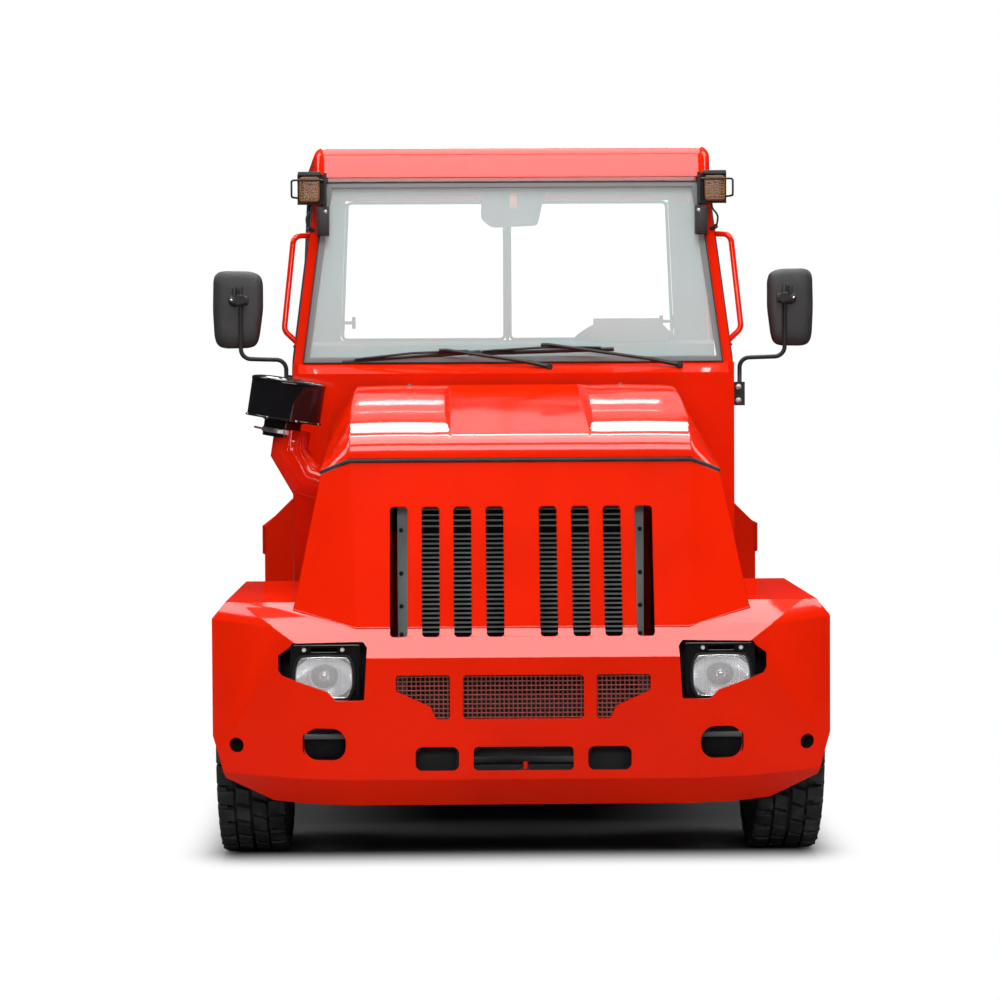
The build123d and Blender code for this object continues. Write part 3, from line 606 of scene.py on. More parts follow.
class Clay:
    """A mesh piece, shaped in steps with Blender's modelling operators."""

    def __init__(self, name: str) -> None:
        """Take over the object that an operator has just added.

        Args:
            name: The piece's name.
        """
        self.object = bpy.context.object
        self.object.name = self.object.data.name = name

    @classmethod
    def around(cls, thing: bpy.types.Object) -> Clay:
        """Link an object to the scene and wrap it, with its names as they are.

        Args:
            thing: An object that no collection holds yet.

        Returns:
            The piece.
        """
        bpy.context.scene.collection.objects.link(thing)
        piece = cls.__new__(cls)
        piece.object = thing
        return piece

    @classmethod
    def block(cls, name: str, low: Sequence[float], high: Sequence[float]) -> Clay:
        """Start from a cube stretched between two corners.

        Args:
            name: The piece's name.
            low: Its lowest corner.
            high: Its highest corner.

        Returns:
            The piece.
        """
        deselect()
        bpy.ops.mesh.primitive_cube_add(size=1.0)
        piece = cls(name)
        piece.object.scale = [abs(b - a) for a, b in zip(low, high)]
        piece.object.location = [(a + b) / 2 for a, b in zip(low, high)]
        return piece.settle()

    @classmethod
    def turned(cls, name: str, profile: Sequence[Flat], sides: int = 32, ring: bool = False) -> Clay:
        """Extrude and widen a circle through a profile about Z.

        Args:
            name: The piece's name.
            profile: Heights and radii, from one end to the other.
            sides: Corners of the circle.
            ring: Whether the profile's end meets its start.

        Returns:
            The piece.
        """
        deselect()
        height, radius = profile[0]
        bpy.ops.mesh.primitive_circle_add(vertices=sides, radius=radius, location=(0.0, 0.0, height))
        piece = cls(name).settle()
        with piece.editing("VERT"):
            bpy.ops.mesh.select_all(action="SELECT")
            for (z0, r0), (z1, r1) in zip(profile, profile[1:]):
                bpy.ops.mesh.extrude_region_move(TRANSFORM_OT_translate={"value": (0.0, 0.0, z1 - z0)})
                bpy.ops.transform.resize(value=(r1 / r0, r1 / r0, 1.0), center_override=(0.0, 0.0, z1))
            bpy.ops.mesh.select_all(action="SELECT")
            bpy.ops.mesh.remove_doubles(threshold=1e-6)
            if not ring:
                bpy.ops.mesh.fill_holes(sides=0)
            bpy.ops.mesh.normals_make_consistent(inside=False)
        return piece

    @classmethod
    def wire(cls, name: str, points: Sequence[Sequence[float]], radius: float, closed: bool = False,
             sides: int = 2, bend: float = 0.0) -> Clay:
        """Sweep a round wire along points, with its ends capped.

        Args:
            name: The piece's name.
            points: The centreline.
            radius: The wire's radius.
            closed: Whether the ends meet.
            sides: Resolution of the round section.
            bend: Radius of the bends at the inner points.

        Returns:
            The piece.
        """
        deselect()
        path = cls._bent(points, bend, closed) if bend else [Vector(p) for p in points]
        curve = bpy.data.curves.new(name, "CURVE")
        curve.dimensions = "3D"
        curve.bevel_depth = radius
        curve.bevel_resolution = sides
        curve.use_fill_caps = not closed
        cls._trace(curve, path, closed)
        return cls._from_curve(name, curve)

    @staticmethod
    def _bent(points: Sequence[Sequence[float]], radius: float, closed: bool) -> list[Vector]:
        """Return the points with each inner corner replaced by a short bend.

        Args:
            points: The line.
            radius: How far from a corner its bend starts, at most.
            closed: Whether the ends meet.
        """
        spots = [Vector(p) for p in points]
        count = len(spots)
        path: list[Vector] = []
        for i, corner in enumerate(spots):
            if not closed and i in (0, count - 1):
                path.append(corner)
                continue
            back = (spots[i - 1] - corner)
            ahead = (spots[(i + 1) % count] - corner)
            reach = min(radius, back.length * 0.48, ahead.length * 0.48)
            first = corner + back.normalized() * reach
            last = corner + ahead.normalized() * reach
            for step in range(7):
                t = step / 6
                path.append(first * (1 - t) ** 2 + corner * 2 * t * (1 - t) + last * t * t)
        return path

    @classmethod
    def plate(cls, name: str, outline: Sequence[Flat], thickness: float, edge: float = 0.0,
              bend: float = 0.0, holes: Sequence[Sequence[Flat]] = ()) -> Clay:
        """Cut a flat plate in the XY plane, centred on z = 0.

        Args:
            name: The piece's name.
            outline: Its corners.
            thickness: Its full thickness.
            edge: Radius of the rounded edges.
            bend: Radius of the rounded corners.
            holes: Outlines of its holes.

        Returns:
            The piece.
        """
        deselect()
        curve = bpy.data.curves.new(name, "CURVE")
        curve.dimensions = "2D"
        curve.fill_mode = "BOTH"
        curve.extrude = max(thickness / 2 - edge, 0.0)
        curve.bevel_depth = edge
        curve.bevel_resolution = 1
        curve.offset = -edge
        for loop in (outline, *holes):
            flat = [(x, y, 0.0) for x, y in loop]
            path = cls._bent(flat, bend, True) if bend else [Vector(p) for p in flat]
            cls._trace(curve, path, True)
        return cls._from_curve(name, curve)

    @staticmethod
    def _trace(curve: bpy.types.Curve, path: Sequence[Vector], closed: bool) -> None:
        """Add a line through points to a curve.

        Args:
            curve: The curve.
            path: The points.
            closed: Whether the ends meet.
        """
        line = curve.splines.new("POLY")
        line.points.add(len(path) - 1)
        line.use_cyclic_u = closed
        for spot, place in zip(line.points, path):
            spot.co = (*place, 1.0)

    @classmethod
    def _from_curve(cls, name: str, curve: bpy.types.Curve) -> Clay:
        """Turn a curve into a closed mesh piece.

        Args:
            name: The piece's name.
            curve: The curve.

        Returns:
            The piece.
        """
        cls.around(bpy.data.objects.new(name, curve)).activate()
        bpy.ops.object.convert(target="MESH")
        piece = cls(name)
        with piece.editing("VERT"):
            bpy.ops.mesh.select_all(action="SELECT")
            bpy.ops.mesh.remove_doubles(threshold=1e-6)
            bpy.ops.mesh.normals_make_consistent(inside=False)
        return piece

    def activate(self) -> None:
        """Make the piece the active object and the only one selected."""
        deselect()
        self.object.select_set(True)
        bpy.context.view_layer.objects.active = self.object

    @contextmanager
    def editing(self, mode: str = "FACE") -> Iterator[bmesh.types.BMesh]:
        """Open the mesh in edit mode with nothing selected.

        Args:
            mode: What is selected: VERT, EDGE or FACE.

        Yields:
            The mesh being edited.
        """
        self.activate()
        bpy.ops.object.mode_set(mode="EDIT")
        bpy.ops.mesh.select_mode(type=mode)
        bpy.ops.mesh.select_all(action="DESELECT")
        mesh = bmesh.from_edit_mesh(self.object.data)
        yield mesh
        bpy.ops.object.mode_set(mode="OBJECT")

    def faces(self, mesh: bmesh.types.BMesh, test: Test) -> int:
        """Select the faces whose centre and normal pass a test, and count them.

        Args:
            mesh: The mesh being edited.
            test: Takes a centre and a normal.

        Returns:
            The number of chosen faces.
        """
        for face in mesh.faces:
            face.select_set(bool(test(face.calc_center_median(), face.normal)))
        mesh.select_flush_mode()
        bmesh.update_edit_mesh(self.object.data)
        return sum(face.select for face in mesh.faces)

    def verts(self, mesh: bmesh.types.BMesh, test: Callable[[Vector], bool]) -> None:
        """Select the vertices whose place passes a test.

        Args:
            mesh: The mesh being edited.
            test: Takes a place.
        """
        for vert in mesh.verts:
            vert.select_set(bool(test(vert.co)))
        bmesh.update_edit_mesh(self.object.data)

    def edges(self, mesh: bmesh.types.BMesh, test: Test) -> None:
        """Select the edges whose middle and direction pass a test.

        Args:
            mesh: The mesh being edited.
            test: Takes a middle and a direction.
        """
        for edge in mesh.edges:
            first, last = (v.co for v in edge.verts)
            edge.select_set(bool(test((first + last) / 2, (last - first).normalized())))
        bmesh.update_edit_mesh(self.object.data)

    def push(self, test: Test, rim: float, depth: float) -> Clay:
        """Inset the chosen faces by a rim and push them in (or out, below zero).

        Args:
            test: Chooses the faces by centre and normal.
            rim: The border's width.
            depth: How far they go in.

        Returns:
            The piece.
        """
        with self.editing() as mesh:
            self.faces(mesh, test)
            bpy.ops.mesh.inset(thickness=rim, depth=0.0, use_even_offset=True)
            bpy.ops.mesh.inset(thickness=0.0, depth=-depth)
        return self

    def swell(self, test: Test, steps: Sequence[Flat]) -> Clay:
        """Grow the chosen flat face outward in steps that narrow it.

        Args:
            test: Chooses the faces by centre and normal.
            steps: How far each step moves out (in, below zero), and the factor it narrows by.

        Returns:
            The piece.
        """
        with self.editing() as mesh:
            self.faces(mesh, test)
            chosen = [face for face in mesh.faces if face.select]
            way = chosen[0].normal.copy()
            spots = [vert.co for face in chosen for vert in face.verts]
            middle = Vector([(min(c) + max(c)) / 2 for c in zip(*spots)])
            for depth, factor in steps:
                middle = middle + way * depth
                bpy.ops.mesh.extrude_region_move(TRANSFORM_OT_translate={"value": way * depth})
                bpy.ops.transform.resize(value=(factor, factor, factor), center_override=middle)
        return self

    def settle(self) -> Clay:
        """Apply the object's place, turn and size to its mesh.

        Returns:
            The same piece.
        """
        self.activate()
        bpy.ops.object.transform_apply(location=True, rotation=True, scale=True)
        return self

    def move(self, shift: Sequence[float] = (0.0, 0.0, 0.0), turn: Matrix | None = None) -> Clay:
        """Turn the piece about the origin, then shift it."""
        self.object.matrix_world = Matrix.Translation(shift) @ (turn.to_4x4() if turn else Matrix.Identity(4))
        return self.settle()

    def copy(self, shift: Sequence[float] = (0.0, 0.0, 0.0), turn: Matrix | None = None) -> Clay:
        """Return a turned and shifted copy with a mesh of its own.

        Args:
            shift: Where the copy goes.
            turn: Its turn about the origin, done first.
        """
        twin = self.object.copy()
        twin.data = self.object.data.copy()
        return Clay.around(twin).move(shift, turn)

    def scatter(self, name: str, places: Places) -> Clay:
        """Copy the piece to each place, join the copies and drop the original.

        Args:
            name: The joined piece's name.
            places: The shift and the turn of each copy.

        Returns:
            The joined piece.
        """
        copies = [self.copy(shift, turn) for shift, turn in places]
        self.drop()
        return Clay.joined(name, copies)

    def spread(self, name: str, spots: Sequence[Sequence[float]], turn: Matrix | None = None) -> Clay:
        """Copy the piece to each spot, all turned alike."""
        return self.scatter(name, [(spot, turn) for spot in spots])

    def row(self, name: str, count: int, axis: Axis, first: float, pitch: float) -> Clay:
        """Copy the piece along an axis, from a first shift and by an even pitch."""
        return self.spread(name, [[c * (first + pitch * i) for c in axis.value] for i in range(count)])

    def drop(self) -> None:
        """Remove the piece from the scene."""
        bpy.data.objects.remove(self.object)

    def mirrored(self) -> Clay:
        """Return a copy on the tug's other side, with its faces still outward."""
        twin = self.copy()
        twin.object.scale = (-1.0, 1.0, 1.0)
        return twin.settle().outward()

    def outward(self) -> Clay:
        """Turn every face outward.

        Returns:
            The same piece.
        """
        with self.editing():
            bpy.ops.mesh.select_all(action="SELECT")
            bpy.ops.mesh.normals_make_consistent(inside=False)
        return self

    def modify(self, kind: str, **settings: object) -> Clay:
        """Add a modifier and apply it.

        Args:
            kind: The modifier's type.
            settings: Its attributes.

        Returns:
            The piece.
        """
        self.activate()
        modifier = self.object.modifiers.new(kind.lower(), kind)
        for key, value in settings.items():
            setattr(modifier, key, value)
        bpy.ops.object.modifier_apply(modifier=modifier.name)
        return self

    def bevel(self, width: float, segments: int = 2, angle: float = 30.0) -> Clay:
        """Round the piece's sharp edges."""
        return self.modify("BEVEL", width=width, segments=segments, limit_method="ANGLE",
                           angle_limit=math.radians(angle), harden_normals=False)

    def smooth(self, angle: float = 35.0) -> Clay:
        """Shade smooth across edges below an angle.

        Args:
            angle: The angle, in degrees.

        Returns:
            The piece.
        """
        self.activate()
        bpy.ops.object.shade_smooth_by_angle(angle=math.radians(angle))
        return self

    @staticmethod
    def joined(name: str, pieces: Sequence[Clay]) -> Clay:
        """Join pieces into one mesh.

        Args:
            name: The mesh's name.
            pieces: The pieces, the first of which keeps its origin.

        Returns:
            The piece.
        """
        deselect()
        for piece in pieces:
            piece.object.select_set(True)
        bpy.context.view_layer.objects.active = pieces[0].object
        bpy.ops.object.join()
        return Clay(name)


def turn_to(direction: Sequence[float]) -> Matrix:
    """Return the rotation that takes +Z to a direction."""
    return Vector(direction).normalized().to_track_quat("Z", "Y").to_matrix()


def about(axis: str, degrees: float) -> Matrix:
    """Return a rotation about one axis."""
    return Matrix.Rotation(math.radians(degrees), 3, axis)


def rectangle(half_wide: float, half_tall: float) -> list[Flat]:
    """Return a rectangle's corners about the origin."""
    return [(-half_wide, -half_tall), (half_wide, -half_tall), (half_wide, half_tall), (-half_wide, half_tall)]


FORWARD, REARWARD = turn_to((0.0, -1.0, 0.0)), turn_to((0.0, 1.0, 0.0))
UPWARD, OUTWARD = turn_to((0.0, 0.0, 1.0)), turn_to((1.0, 0.0, 0.0))
UPRIGHT = about("X", 90.0)  # stands a flat plate up, facing forward
BACK_UPRIGHT = about("Z", 180.0) @ UPRIGHT


RED = GlossPaint("red_paint", (0.67, 0.0125, 0.0006))
CHASSIS = SatinPaint("chassis_black", (0.011, 0.011, 0.012), dust=0.06, shine=0.28)
MESH_RED = SatinPaint("mesh_paint", (0.22, 0.032, 0.022), rough=0.4, dust=0.05)
RADIATOR = SatinPaint("radiator_grey", (0.22, 0.255, 0.24), rough=0.5)
ENGINE = SatinPaint("engine_grey", (0.05, 0.052, 0.055), rough=0.55)
EXHAUST = SatinPaint("exhaust_grey", (0.10, 0.085, 0.07), rough=0.6)
BLACK_PLASTIC = Plastic("black_plastic", (0.013, 0.013, 0.014))
MIRROR_SHELL = Plastic("mirror_black", (0.017, 0.017, 0.018), 0.42)
DASH_PLASTIC = Plastic("dash_plastic", (0.028, 0.028, 0.031), 0.6)
GLOSS_BLACK = GlossPaint("gloss_black", (0.006, 0.006, 0.007), edge=0.003, peel=0.008)
RUBBER = Rubber("seal_rubber")
TYRE = Rubber("tyre_rubber", dust=0.5)
# the pale veil and glow of both glasses are painted reflection
GLASS = PaleGlass("cab_glass", 0.24, (0.78, 0.93, 0.92), 0.18)
CLEAR_GLASS = PaleGlass("rear_glass", 0.09)
CHROME = Metal("bright_metal", (0.72, 0.73, 0.74), 0.16)
STEEL = Metal("zinc_steel", (0.50, 0.50, 0.49), 0.34)
# painted light: the unlit lamp reflector glows to look bright
REFLECTOR = Metal("lamp_reflector", (0.86, 0.87, 0.88), 0.17, stains=0.0, glow=0.16)
LENS = LensGlass("lamp_glass", (0.92, 0.94, 0.95), 0.15, 0.0)
AMBER = LensGlass("amber_lens", (0.17, 0.072, 0.016), 0.92, gloss=0.12)
RED_LENS = LensGlass("red_lens", (0.42, 0.008, 0.006), 0.95)
SEAT_COVER = Cover("seat_cover", (0.020, 0.020, 0.022))
GLASS_EDGE = Plastic("glass_edge", (0.16, 0.175, 0.175), 0.5, 900.0, 0.1)
CORE = SatinPaint("radiator_core", (0.003, 0.003, 0.004), rough=0.6, wear=0.02, dust=0.02, shine=0.08)
LINING = Plastic("cab_lining", (0.045, 0.047, 0.048), 0.7, 500.0, 0.35)
WHITE_MARK = SatinPaint("white_enamel", (0.72, 0.72, 0.70), rough=0.4, wear=0.05)
AMBER_BRIGHT = LensGlass("tail_amber_lens", (0.75, 0.24, 0.01), 0.95)
LENS_WHITE = LensGlass("tail_clear_lens", (0.75, 0.76, 0.76), 0.9)


@dataclass
class Dresser:
    """Gives each frame node its finish."""

    frame: dict
    finishes: dict[str, bpy.types.Material] = field(default_factory=dict)

    def material(self, finish: Finish) -> bpy.types.Material:
        """Return a finish's material, made once.

        Args:
            finish: The finish.
        """
        if finish.name not in self.finishes:
            self.finishes[finish.name] = finish.make()
        return self.finishes[finish.name]

    def dress(self, node: bpy.types.Object, finish: Finish) -> None:
        """Put a finish on every slot of an object.

        Args:
            node: The object.
            finish: The finish.
        """
        material = self.material(finish)
        if not node.material_slots:
            node.data.materials.append(material)
        for slot in node.material_slots:
            slot.material = material


@dataclass
class SubAssembly:
    """Pieces that belong together and the dresser that finishes them."""

    dresser: Dresser

    def place(self, piece: Clay, finish: Finish, body: str = "chassis", replaces: Sequence[str] = ()) -> Clay:
        """Finish a piece and let it ride on a body.

        Args:
            piece: The modelled piece.
            finish: Its finish.
            body: The body it moves with.
            replaces: Frame nodes it stands for.

        Returns:
            The same piece.
        """
        self.dresser.dress(piece.object, finish)
        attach(piece.object, body)
        if replaces:
            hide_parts(*replaces)
        LOG.info("%s: %d faces", piece.object.name, len(piece.object.data.polygons))
        return piece

    def pair(self, piece: Clay, finish: Finish, replaces: Sequence[str] = ()) -> None:
        """Place a left-hand piece and its mirror image on the chassis.

        Args:
            piece: The left-hand piece.
            finish: Its finish.
            replaces: Frame nodes the pair stands for.
        """
        twin = piece.mirrored()
        name = piece.object.name
        piece.object.name, twin.object.name = name + "_left", name + "_right"
        self.place(piece, finish, replaces=replaces)
        self.place(twin, finish)


def screw(name: str, radius: float, height: float, corners: int = 6) -> Clay:
    """Return a bolt head on its washer, standing on z = 0.

    Args:
        name: The piece's name.
        radius: Half the head's width.
        height: How far the head stands up.
        corners: Corners of the head.

    Returns:
        The bolt head.
    """
    wide = radius * 1.35
    washer = Clay.turned(name, ((0.0, wide), (height * 0.22, wide), (height * 0.25, radius * 1.2)), 20)
    profile = ((height * 0.2, radius), (height * 0.85, radius), (height, radius * 0.78))
    return Clay.joined(name, [washer, Clay.turned(name, profile, corners)]).bevel(radius * 0.08, 1).smooth()


@dataclass
class Tyres(SubAssembly):
    """Four treaded tyres with wheel nuts, hub caps and valves."""

    bead: float = 0.152
    segments: int = 34
    tread: float = 0.013
    corners: int = 80
    nuts: int = 6
    nut_circle: float = 0.046
    hub_face: float = 0.061
    cap: tuple[Flat, ...] = ((0.0, 0.030), (0.012, 0.029), (0.019, 0.024), (0.021, 0.010))

    def build(self) -> None:
        """Model one tyre per axle and copy it to each wheel."""
        for axle in ("front", "rear"):
            low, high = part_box(f"tyre_{axle}_left")
            tyre = self._tyre(axle, (high.z - low.z) / 2, high.x - low.x)
            for side in Side:
                name = f"{axle}_{side.word}"
                low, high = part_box("tyre_" + name)
                centre = (low + high) / 2
                piece = tyre.copy(centre, about("Z", 180.0) if side is Side.RIGHT else None)
                piece.object.name = "tread_" + name
                self.place(piece, TYRE, "wheel_" + name, replaces=("tyre_" + name,))
                self._hub(name, centre, side)
            tyre.drop()

    def _tyre(self, name: str, radius: float, width: float) -> Clay:
        """Model a whole tyre about X at the origin.

        Args:
            name: A name for its pieces.
            radius: The tyre's outer radius.
            width: The tyre's width.

        Returns:
            The tyre.
        """
        half, floor, rim = width / 2, radius - self.tread, self.bead
        outer = ((half - 0.026, rim), (half - 0.012, rim + 0.012), (half - 0.010, rim + 0.018),
                 (half - 0.002, rim + 0.055), (half, rim + 0.095), (half - 0.004, floor - 0.046),
                 (half - 0.010, floor - 0.022), (half - 0.022, floor - 0.006), (half * 0.4, floor))
        profile = [(-z, r) for z, r in outer] + list(reversed(outer)) + [(-outer[0][0], rim)]
        carcass = Clay.turned(name, profile, self.corners, ring=True)
        for side in (1, -1):
            for r, reach in ((rim + 0.034, half - 0.0062), (rim + 0.078, half - 0.0006)):
                section = ((-0.0012, r), (0.0012, r + 0.0008), (0.0012, r + 0.004), (-0.0012, r + 0.005),
                           (-0.0012, r))
                line = Clay.turned(name, section, self.corners, ring=True)
                carcass = Clay.joined(name, [carcass, line.move((0.0, 0.0, side * reach))])
        segment = self._segment(name, radius, half)
        copies = [segment.copy(turn=about("Z", 360.0 / self.segments * i)) for i in range(1, self.segments)]
        return Clay.joined(name, [carcass, segment, *copies]).move(turn=about("Y", 90.0)).smooth(28)

    def _segment(self, name: str, radius: float, half: float) -> Clay:
        """Model one pitch of the tread about Z: two shoulder lugs and two crown blocks.

        Args:
            name: A name for its pieces.
            radius: The tyre's outer radius.
            half: Half the tyre's width.

        Returns:
            The segment.
        """
        arc = math.tau * radius / self.segments
        blocks = []
        for side, offset in ((1, 0.0), (-1, arc / 2)):
            lug = Clay.block(name, (radius - 0.040, -arc * 0.34, half * 0.50),
                             (radius, arc * 0.34, half * 0.995))
            with lug.editing("EDGE") as mesh:
                lug.edges(mesh, lambda c, d: c.x > radius - 0.001 and c.z > half * 0.98)
                bpy.ops.mesh.bevel(offset=0.017, segments=2)
            notch = Clay.block(name, (radius - 0.030, arc * 0.30, half * 0.70),
                               (radius - 0.006, arc * 0.52, half * 0.985))
            crown = Clay.block(name, (radius - 0.016, -arc * 0.38, half * 0.05),
                               (radius, arc * 0.38, half * 0.44))
            with crown.editing("VERT") as mesh:
                crown.verts(mesh, lambda c: c.z > half * 0.3)
                bpy.ops.transform.translate(value=(0.0, arc * 0.20, 0.0))
            group = Clay.joined(name, [lug, notch, crown])
            if side < 0:
                group.move(turn=about("X", 180.0))
            blocks.append(group.move(turn=about("Z", math.degrees(offset / radius))))
        return Clay.joined(name, blocks).bevel(0.0014, 1)

    def _hub(self, name: str, centre: Vector, side: Side) -> None:
        """Add the hub cap, the wheel nuts and the valve to one wheel.

        Args:
            name: The wheel's name without its prefix.
            centre: The wheel's centre.
            side: The side it is on.
        """
        face, body = centre.x + side.value * self.hub_face, "wheel_" + name
        turn = turn_to((side.value, 0.0, 0.0))
        cap = Clay.turned("hub_cap_" + name, self.cap, 32).bevel(0.0015, 2)
        self.place(cap.smooth().move((face, centre.y, centre.z), turn), CHASSIS, body)
        circle, angles = self.nut_circle, [math.tau * i / self.nuts for i in range(self.nuts)]
        spots = [(face, centre.y + circle * math.cos(a), centre.z + circle * math.sin(a)) for a in angles]
        self.place(screw("nut", 0.0095, 0.014).spread("wheel_nuts_" + name, spots, turn), STEEL, body)
        root = centre + Vector((side.value * 0.034, 0.0, 0.118))
        valve = Clay.wire("valve_" + name, (root, root + Vector((side.value * 0.022, 0.0, -0.004))), 0.0035)
        self.place(valve.smooth(), RUBBER, body)


@dataclass
class BumperScreens(SubAssembly):
    """Woven wire mesh behind the bumper openings."""

    pitch: float = 0.0118
    wire: float = 0.0017
    depth: float = -1.5385

    def build(self) -> None:
        """Weave the three panels as one piece."""
        low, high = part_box("bumper_screens")
        panels = [self._weave(-0.168, 0.168, 0.432, 0.564)]
        for side in Side:
            first, last = sorted((side.value * 0.182, side.value * 0.338))
            panels.append(self._weave(first, last, low.z + 0.004, high.z))
        screens = Clay.joined("wire_screens", panels).smooth(60)
        self.place(screens, MESH_RED, replaces=("bumper_screens",))

    def _weave(self, x0: float, x1: float, z0: float, z1: float) -> Clay:
        """Return one rectangle of crossing, crimped wires.

        Args:
            x0: Its right edge.
            x1: Its left edge.
            z0: Its lower edge.
            z1: Its upper edge.
        """
        wires = []
        for along, across, flip in ((x1 - x0, z1 - z0, False), (z1 - z0, x1 - x0, True)):
            count = int(along / self.pitch) + 1
            points = [(i * self.pitch, 0.0, (1 if i % 2 else -1) * self.wire * 0.75) for i in range(count)]
            master = Clay.wire("crimp", points, self.wire, sides=1)
            for j in range(int(across / self.pitch) + 1):
                odd = Matrix.Diagonal((1.0, 1.0, -1.0 if j % 2 == int(flip) else 1.0))
                copy = master.copy(turn=odd)
                copy.move((0.0, j * self.pitch, 0.0))
                if flip:
                    copy.move(turn=about("Z", 90.0)).move(((across // self.pitch) * self.pitch, 0.0, 0.0))
                wires.append(copy)
            master.drop()
        return Clay.joined("panel", wires).outward().move((x0, self.depth, z0), UPRIGHT)


@dataclass
class Headlamps(SubAssembly):
    """Sealed-beam lamps in their black bezels."""

    centre: Point = (0.520, -1.498, 0.545)
    width: float = 0.156
    height: float = 0.110
    flutes: int = 13
    rings: int = 7

    def build(self) -> None:
        """Model the left lamp and mirror it."""
        x, y, z = self.centre
        plate = [(-0.095, -0.075), (0.089, -0.075), (0.089, 0.087), (-0.095, 0.087)]
        slot = [(-0.034, 0.068), (0.034, 0.068), (0.034, 0.078), (-0.034, 0.078)]
        bezel = Clay.plate("lamp_bezel", plate, 0.005, 0.0012, 0.008, (self._barrel(0.0), slot)).smooth()
        self.pair(bezel.move((x, y + 0.014, z), UPRIGHT), GLOSS_BLACK, replaces=("headlamps",))
        rim = self._loop("lamp_rim", 0.002, 0.0034).smooth(60)
        self.pair(rim.move((x, y + 0.009, z), UPRIGHT), CHASSIS)
        self._optics(x, y, z)
        spots = [(x + dx, y + 0.0115, z + 0.073) for dx in (-0.048, 0.052)]
        self.pair(screw("lamp_screw", 0.0042, 0.004, 16).spread("lamp_screws", spots, FORWARD), WHITE_MARK)

    def _barrel(self, grow: float) -> list[Flat]:
        """Return the lamp's outline, bowed at its sides and grown all round.

        Args:
            grow: How far outside the glass it runs.
        """
        half, tall = self.width / 2 + grow, self.height / 2 + grow
        steps = [-1 + step / 4 for step in range(9)]
        right = [(half - 0.016 * abs(t) ** 3.2 - 0.001, tall * 0.985 * t) for t in steps]
        top = [(0.040, tall), (0.0, tall + 0.0015), (-0.040, tall)]
        return right + top + [(-px, pz) for px, pz in reversed(right)] + [(-px, -pz) for px, pz in top]

    def _loop(self, name: str, grow: float, radius: float, sides: int = 2, rise: float = 0.0) -> Clay:
        """Bend a wire along the lamp's outline.

        Args:
            name: The piece's name.
            grow: How far outside the outline it runs.
            radius: The wire's radius.
            sides: Resolution of its section.
            rise: Its height over the plate.

        Returns:
            The wire, lying flat.
        """
        points = [(px, pz, rise) for px, pz in self._barrel(grow)]
        return Clay.wire(name, points, radius, closed=True, sides=sides)

    def _optics(self, x: float, y: float, z: float) -> None:
        """Model the reflector, bulb shield and fluted glass about a centre.

        Args:
            x: The lamp's middle.
            y: The lamp's front face.
            z: The lamp's middle height.
        """
        bowl = [(0.0, 0.012), (0.008, 0.030), (0.020, 0.052), (0.034, 0.070), (0.046, 0.081)]
        outer = [(h - 0.003, r + 0.002) for h, r in reversed(bowl)]
        dish = Clay.turned("lamp_reflector", bowl + outer, 48).smooth(50)
        dish.object.scale = (0.95, 0.68, 1.0)
        self.pair(dish.settle().move((x, y + 0.058, z), FORWARD), REFLECTOR)
        # name, profile of heights and radii, sides, shift in y and z, finish
        table = (("lamp_socket", ((0.0, 0.036), (0.006, 0.035), (0.010, 0.027), (0.012, 0.012)), 40,
                  0.050, 0.002, ENGINE),
                 ("lamp_shield", ((0.0, 0.013), (0.012, 0.014), (0.020, 0.011), (0.024, 0.004)), 32,
                  0.034, 0.004, CHROME))
        for name, profile, sides, dy, dz, finish in table:
            piece = Clay.turned(name, profile, sides).bevel(0.001, 2).smooth(50)
            self.pair(piece.move((x, y + dy, z + dz), FORWARD), finish)
        strips = [Clay.plate("lamp_pane", self._barrel(-0.001), 0.004, 0.0012)]
        for i in range(self.flutes):
            px = -0.042 + 0.007 * i
            strips.append(Clay.wire("flute", ((px, -0.047, -0.0020), (px, 0.047, -0.0020)), 0.0026, sides=1))
        strips += [self._loop("ring", -0.005 - 0.0052 * i, 0.0011, 1, 0.0022) for i in range(self.rings)]
        lip = self._loop("lamp_lip", -0.0025, 0.0016).smooth(60)
        self.pair(lip.move((x, y + 0.0045, z), UPRIGHT), CHROME)
        pane = Clay.joined("lamp_pane", strips).smooth(50)
        self.pair(pane.move((x, y + 0.008, z), UPRIGHT), LENS, replaces=("headlamp_lenses",))


@dataclass
class FogLamps(SubAssembly):
    """Dark lamp faces behind the oval bumper openings."""

    centre: Point = (0.517, -1.500, 0.375)
    body: Point = (0.063, 0.050, 0.034)
    brow: float = 0.054

    def build(self) -> None:
        """Model the left lamp and mirror it."""
        x, y, z = self.centre
        half, tall, deep = self.body
        body = Clay.plate("fog_body", rectangle(half, tall), deep, 0.002, 0.036)
        body.push(lambda c, n: n.z > 0.9, 0.008, -0.004)
        self.pair(body.smooth().move((x, y + 0.002, z), UPRIGHT), CORE, replaces=("fog_lamps",))
        low, high = (x - self.brow, y - 0.026, z + 0.012), (x + self.brow, y - 0.012, z + 0.026)
        self.pair(Clay.block("fog_brow", low, high).bevel(0.004, 2).smooth(), LINING)


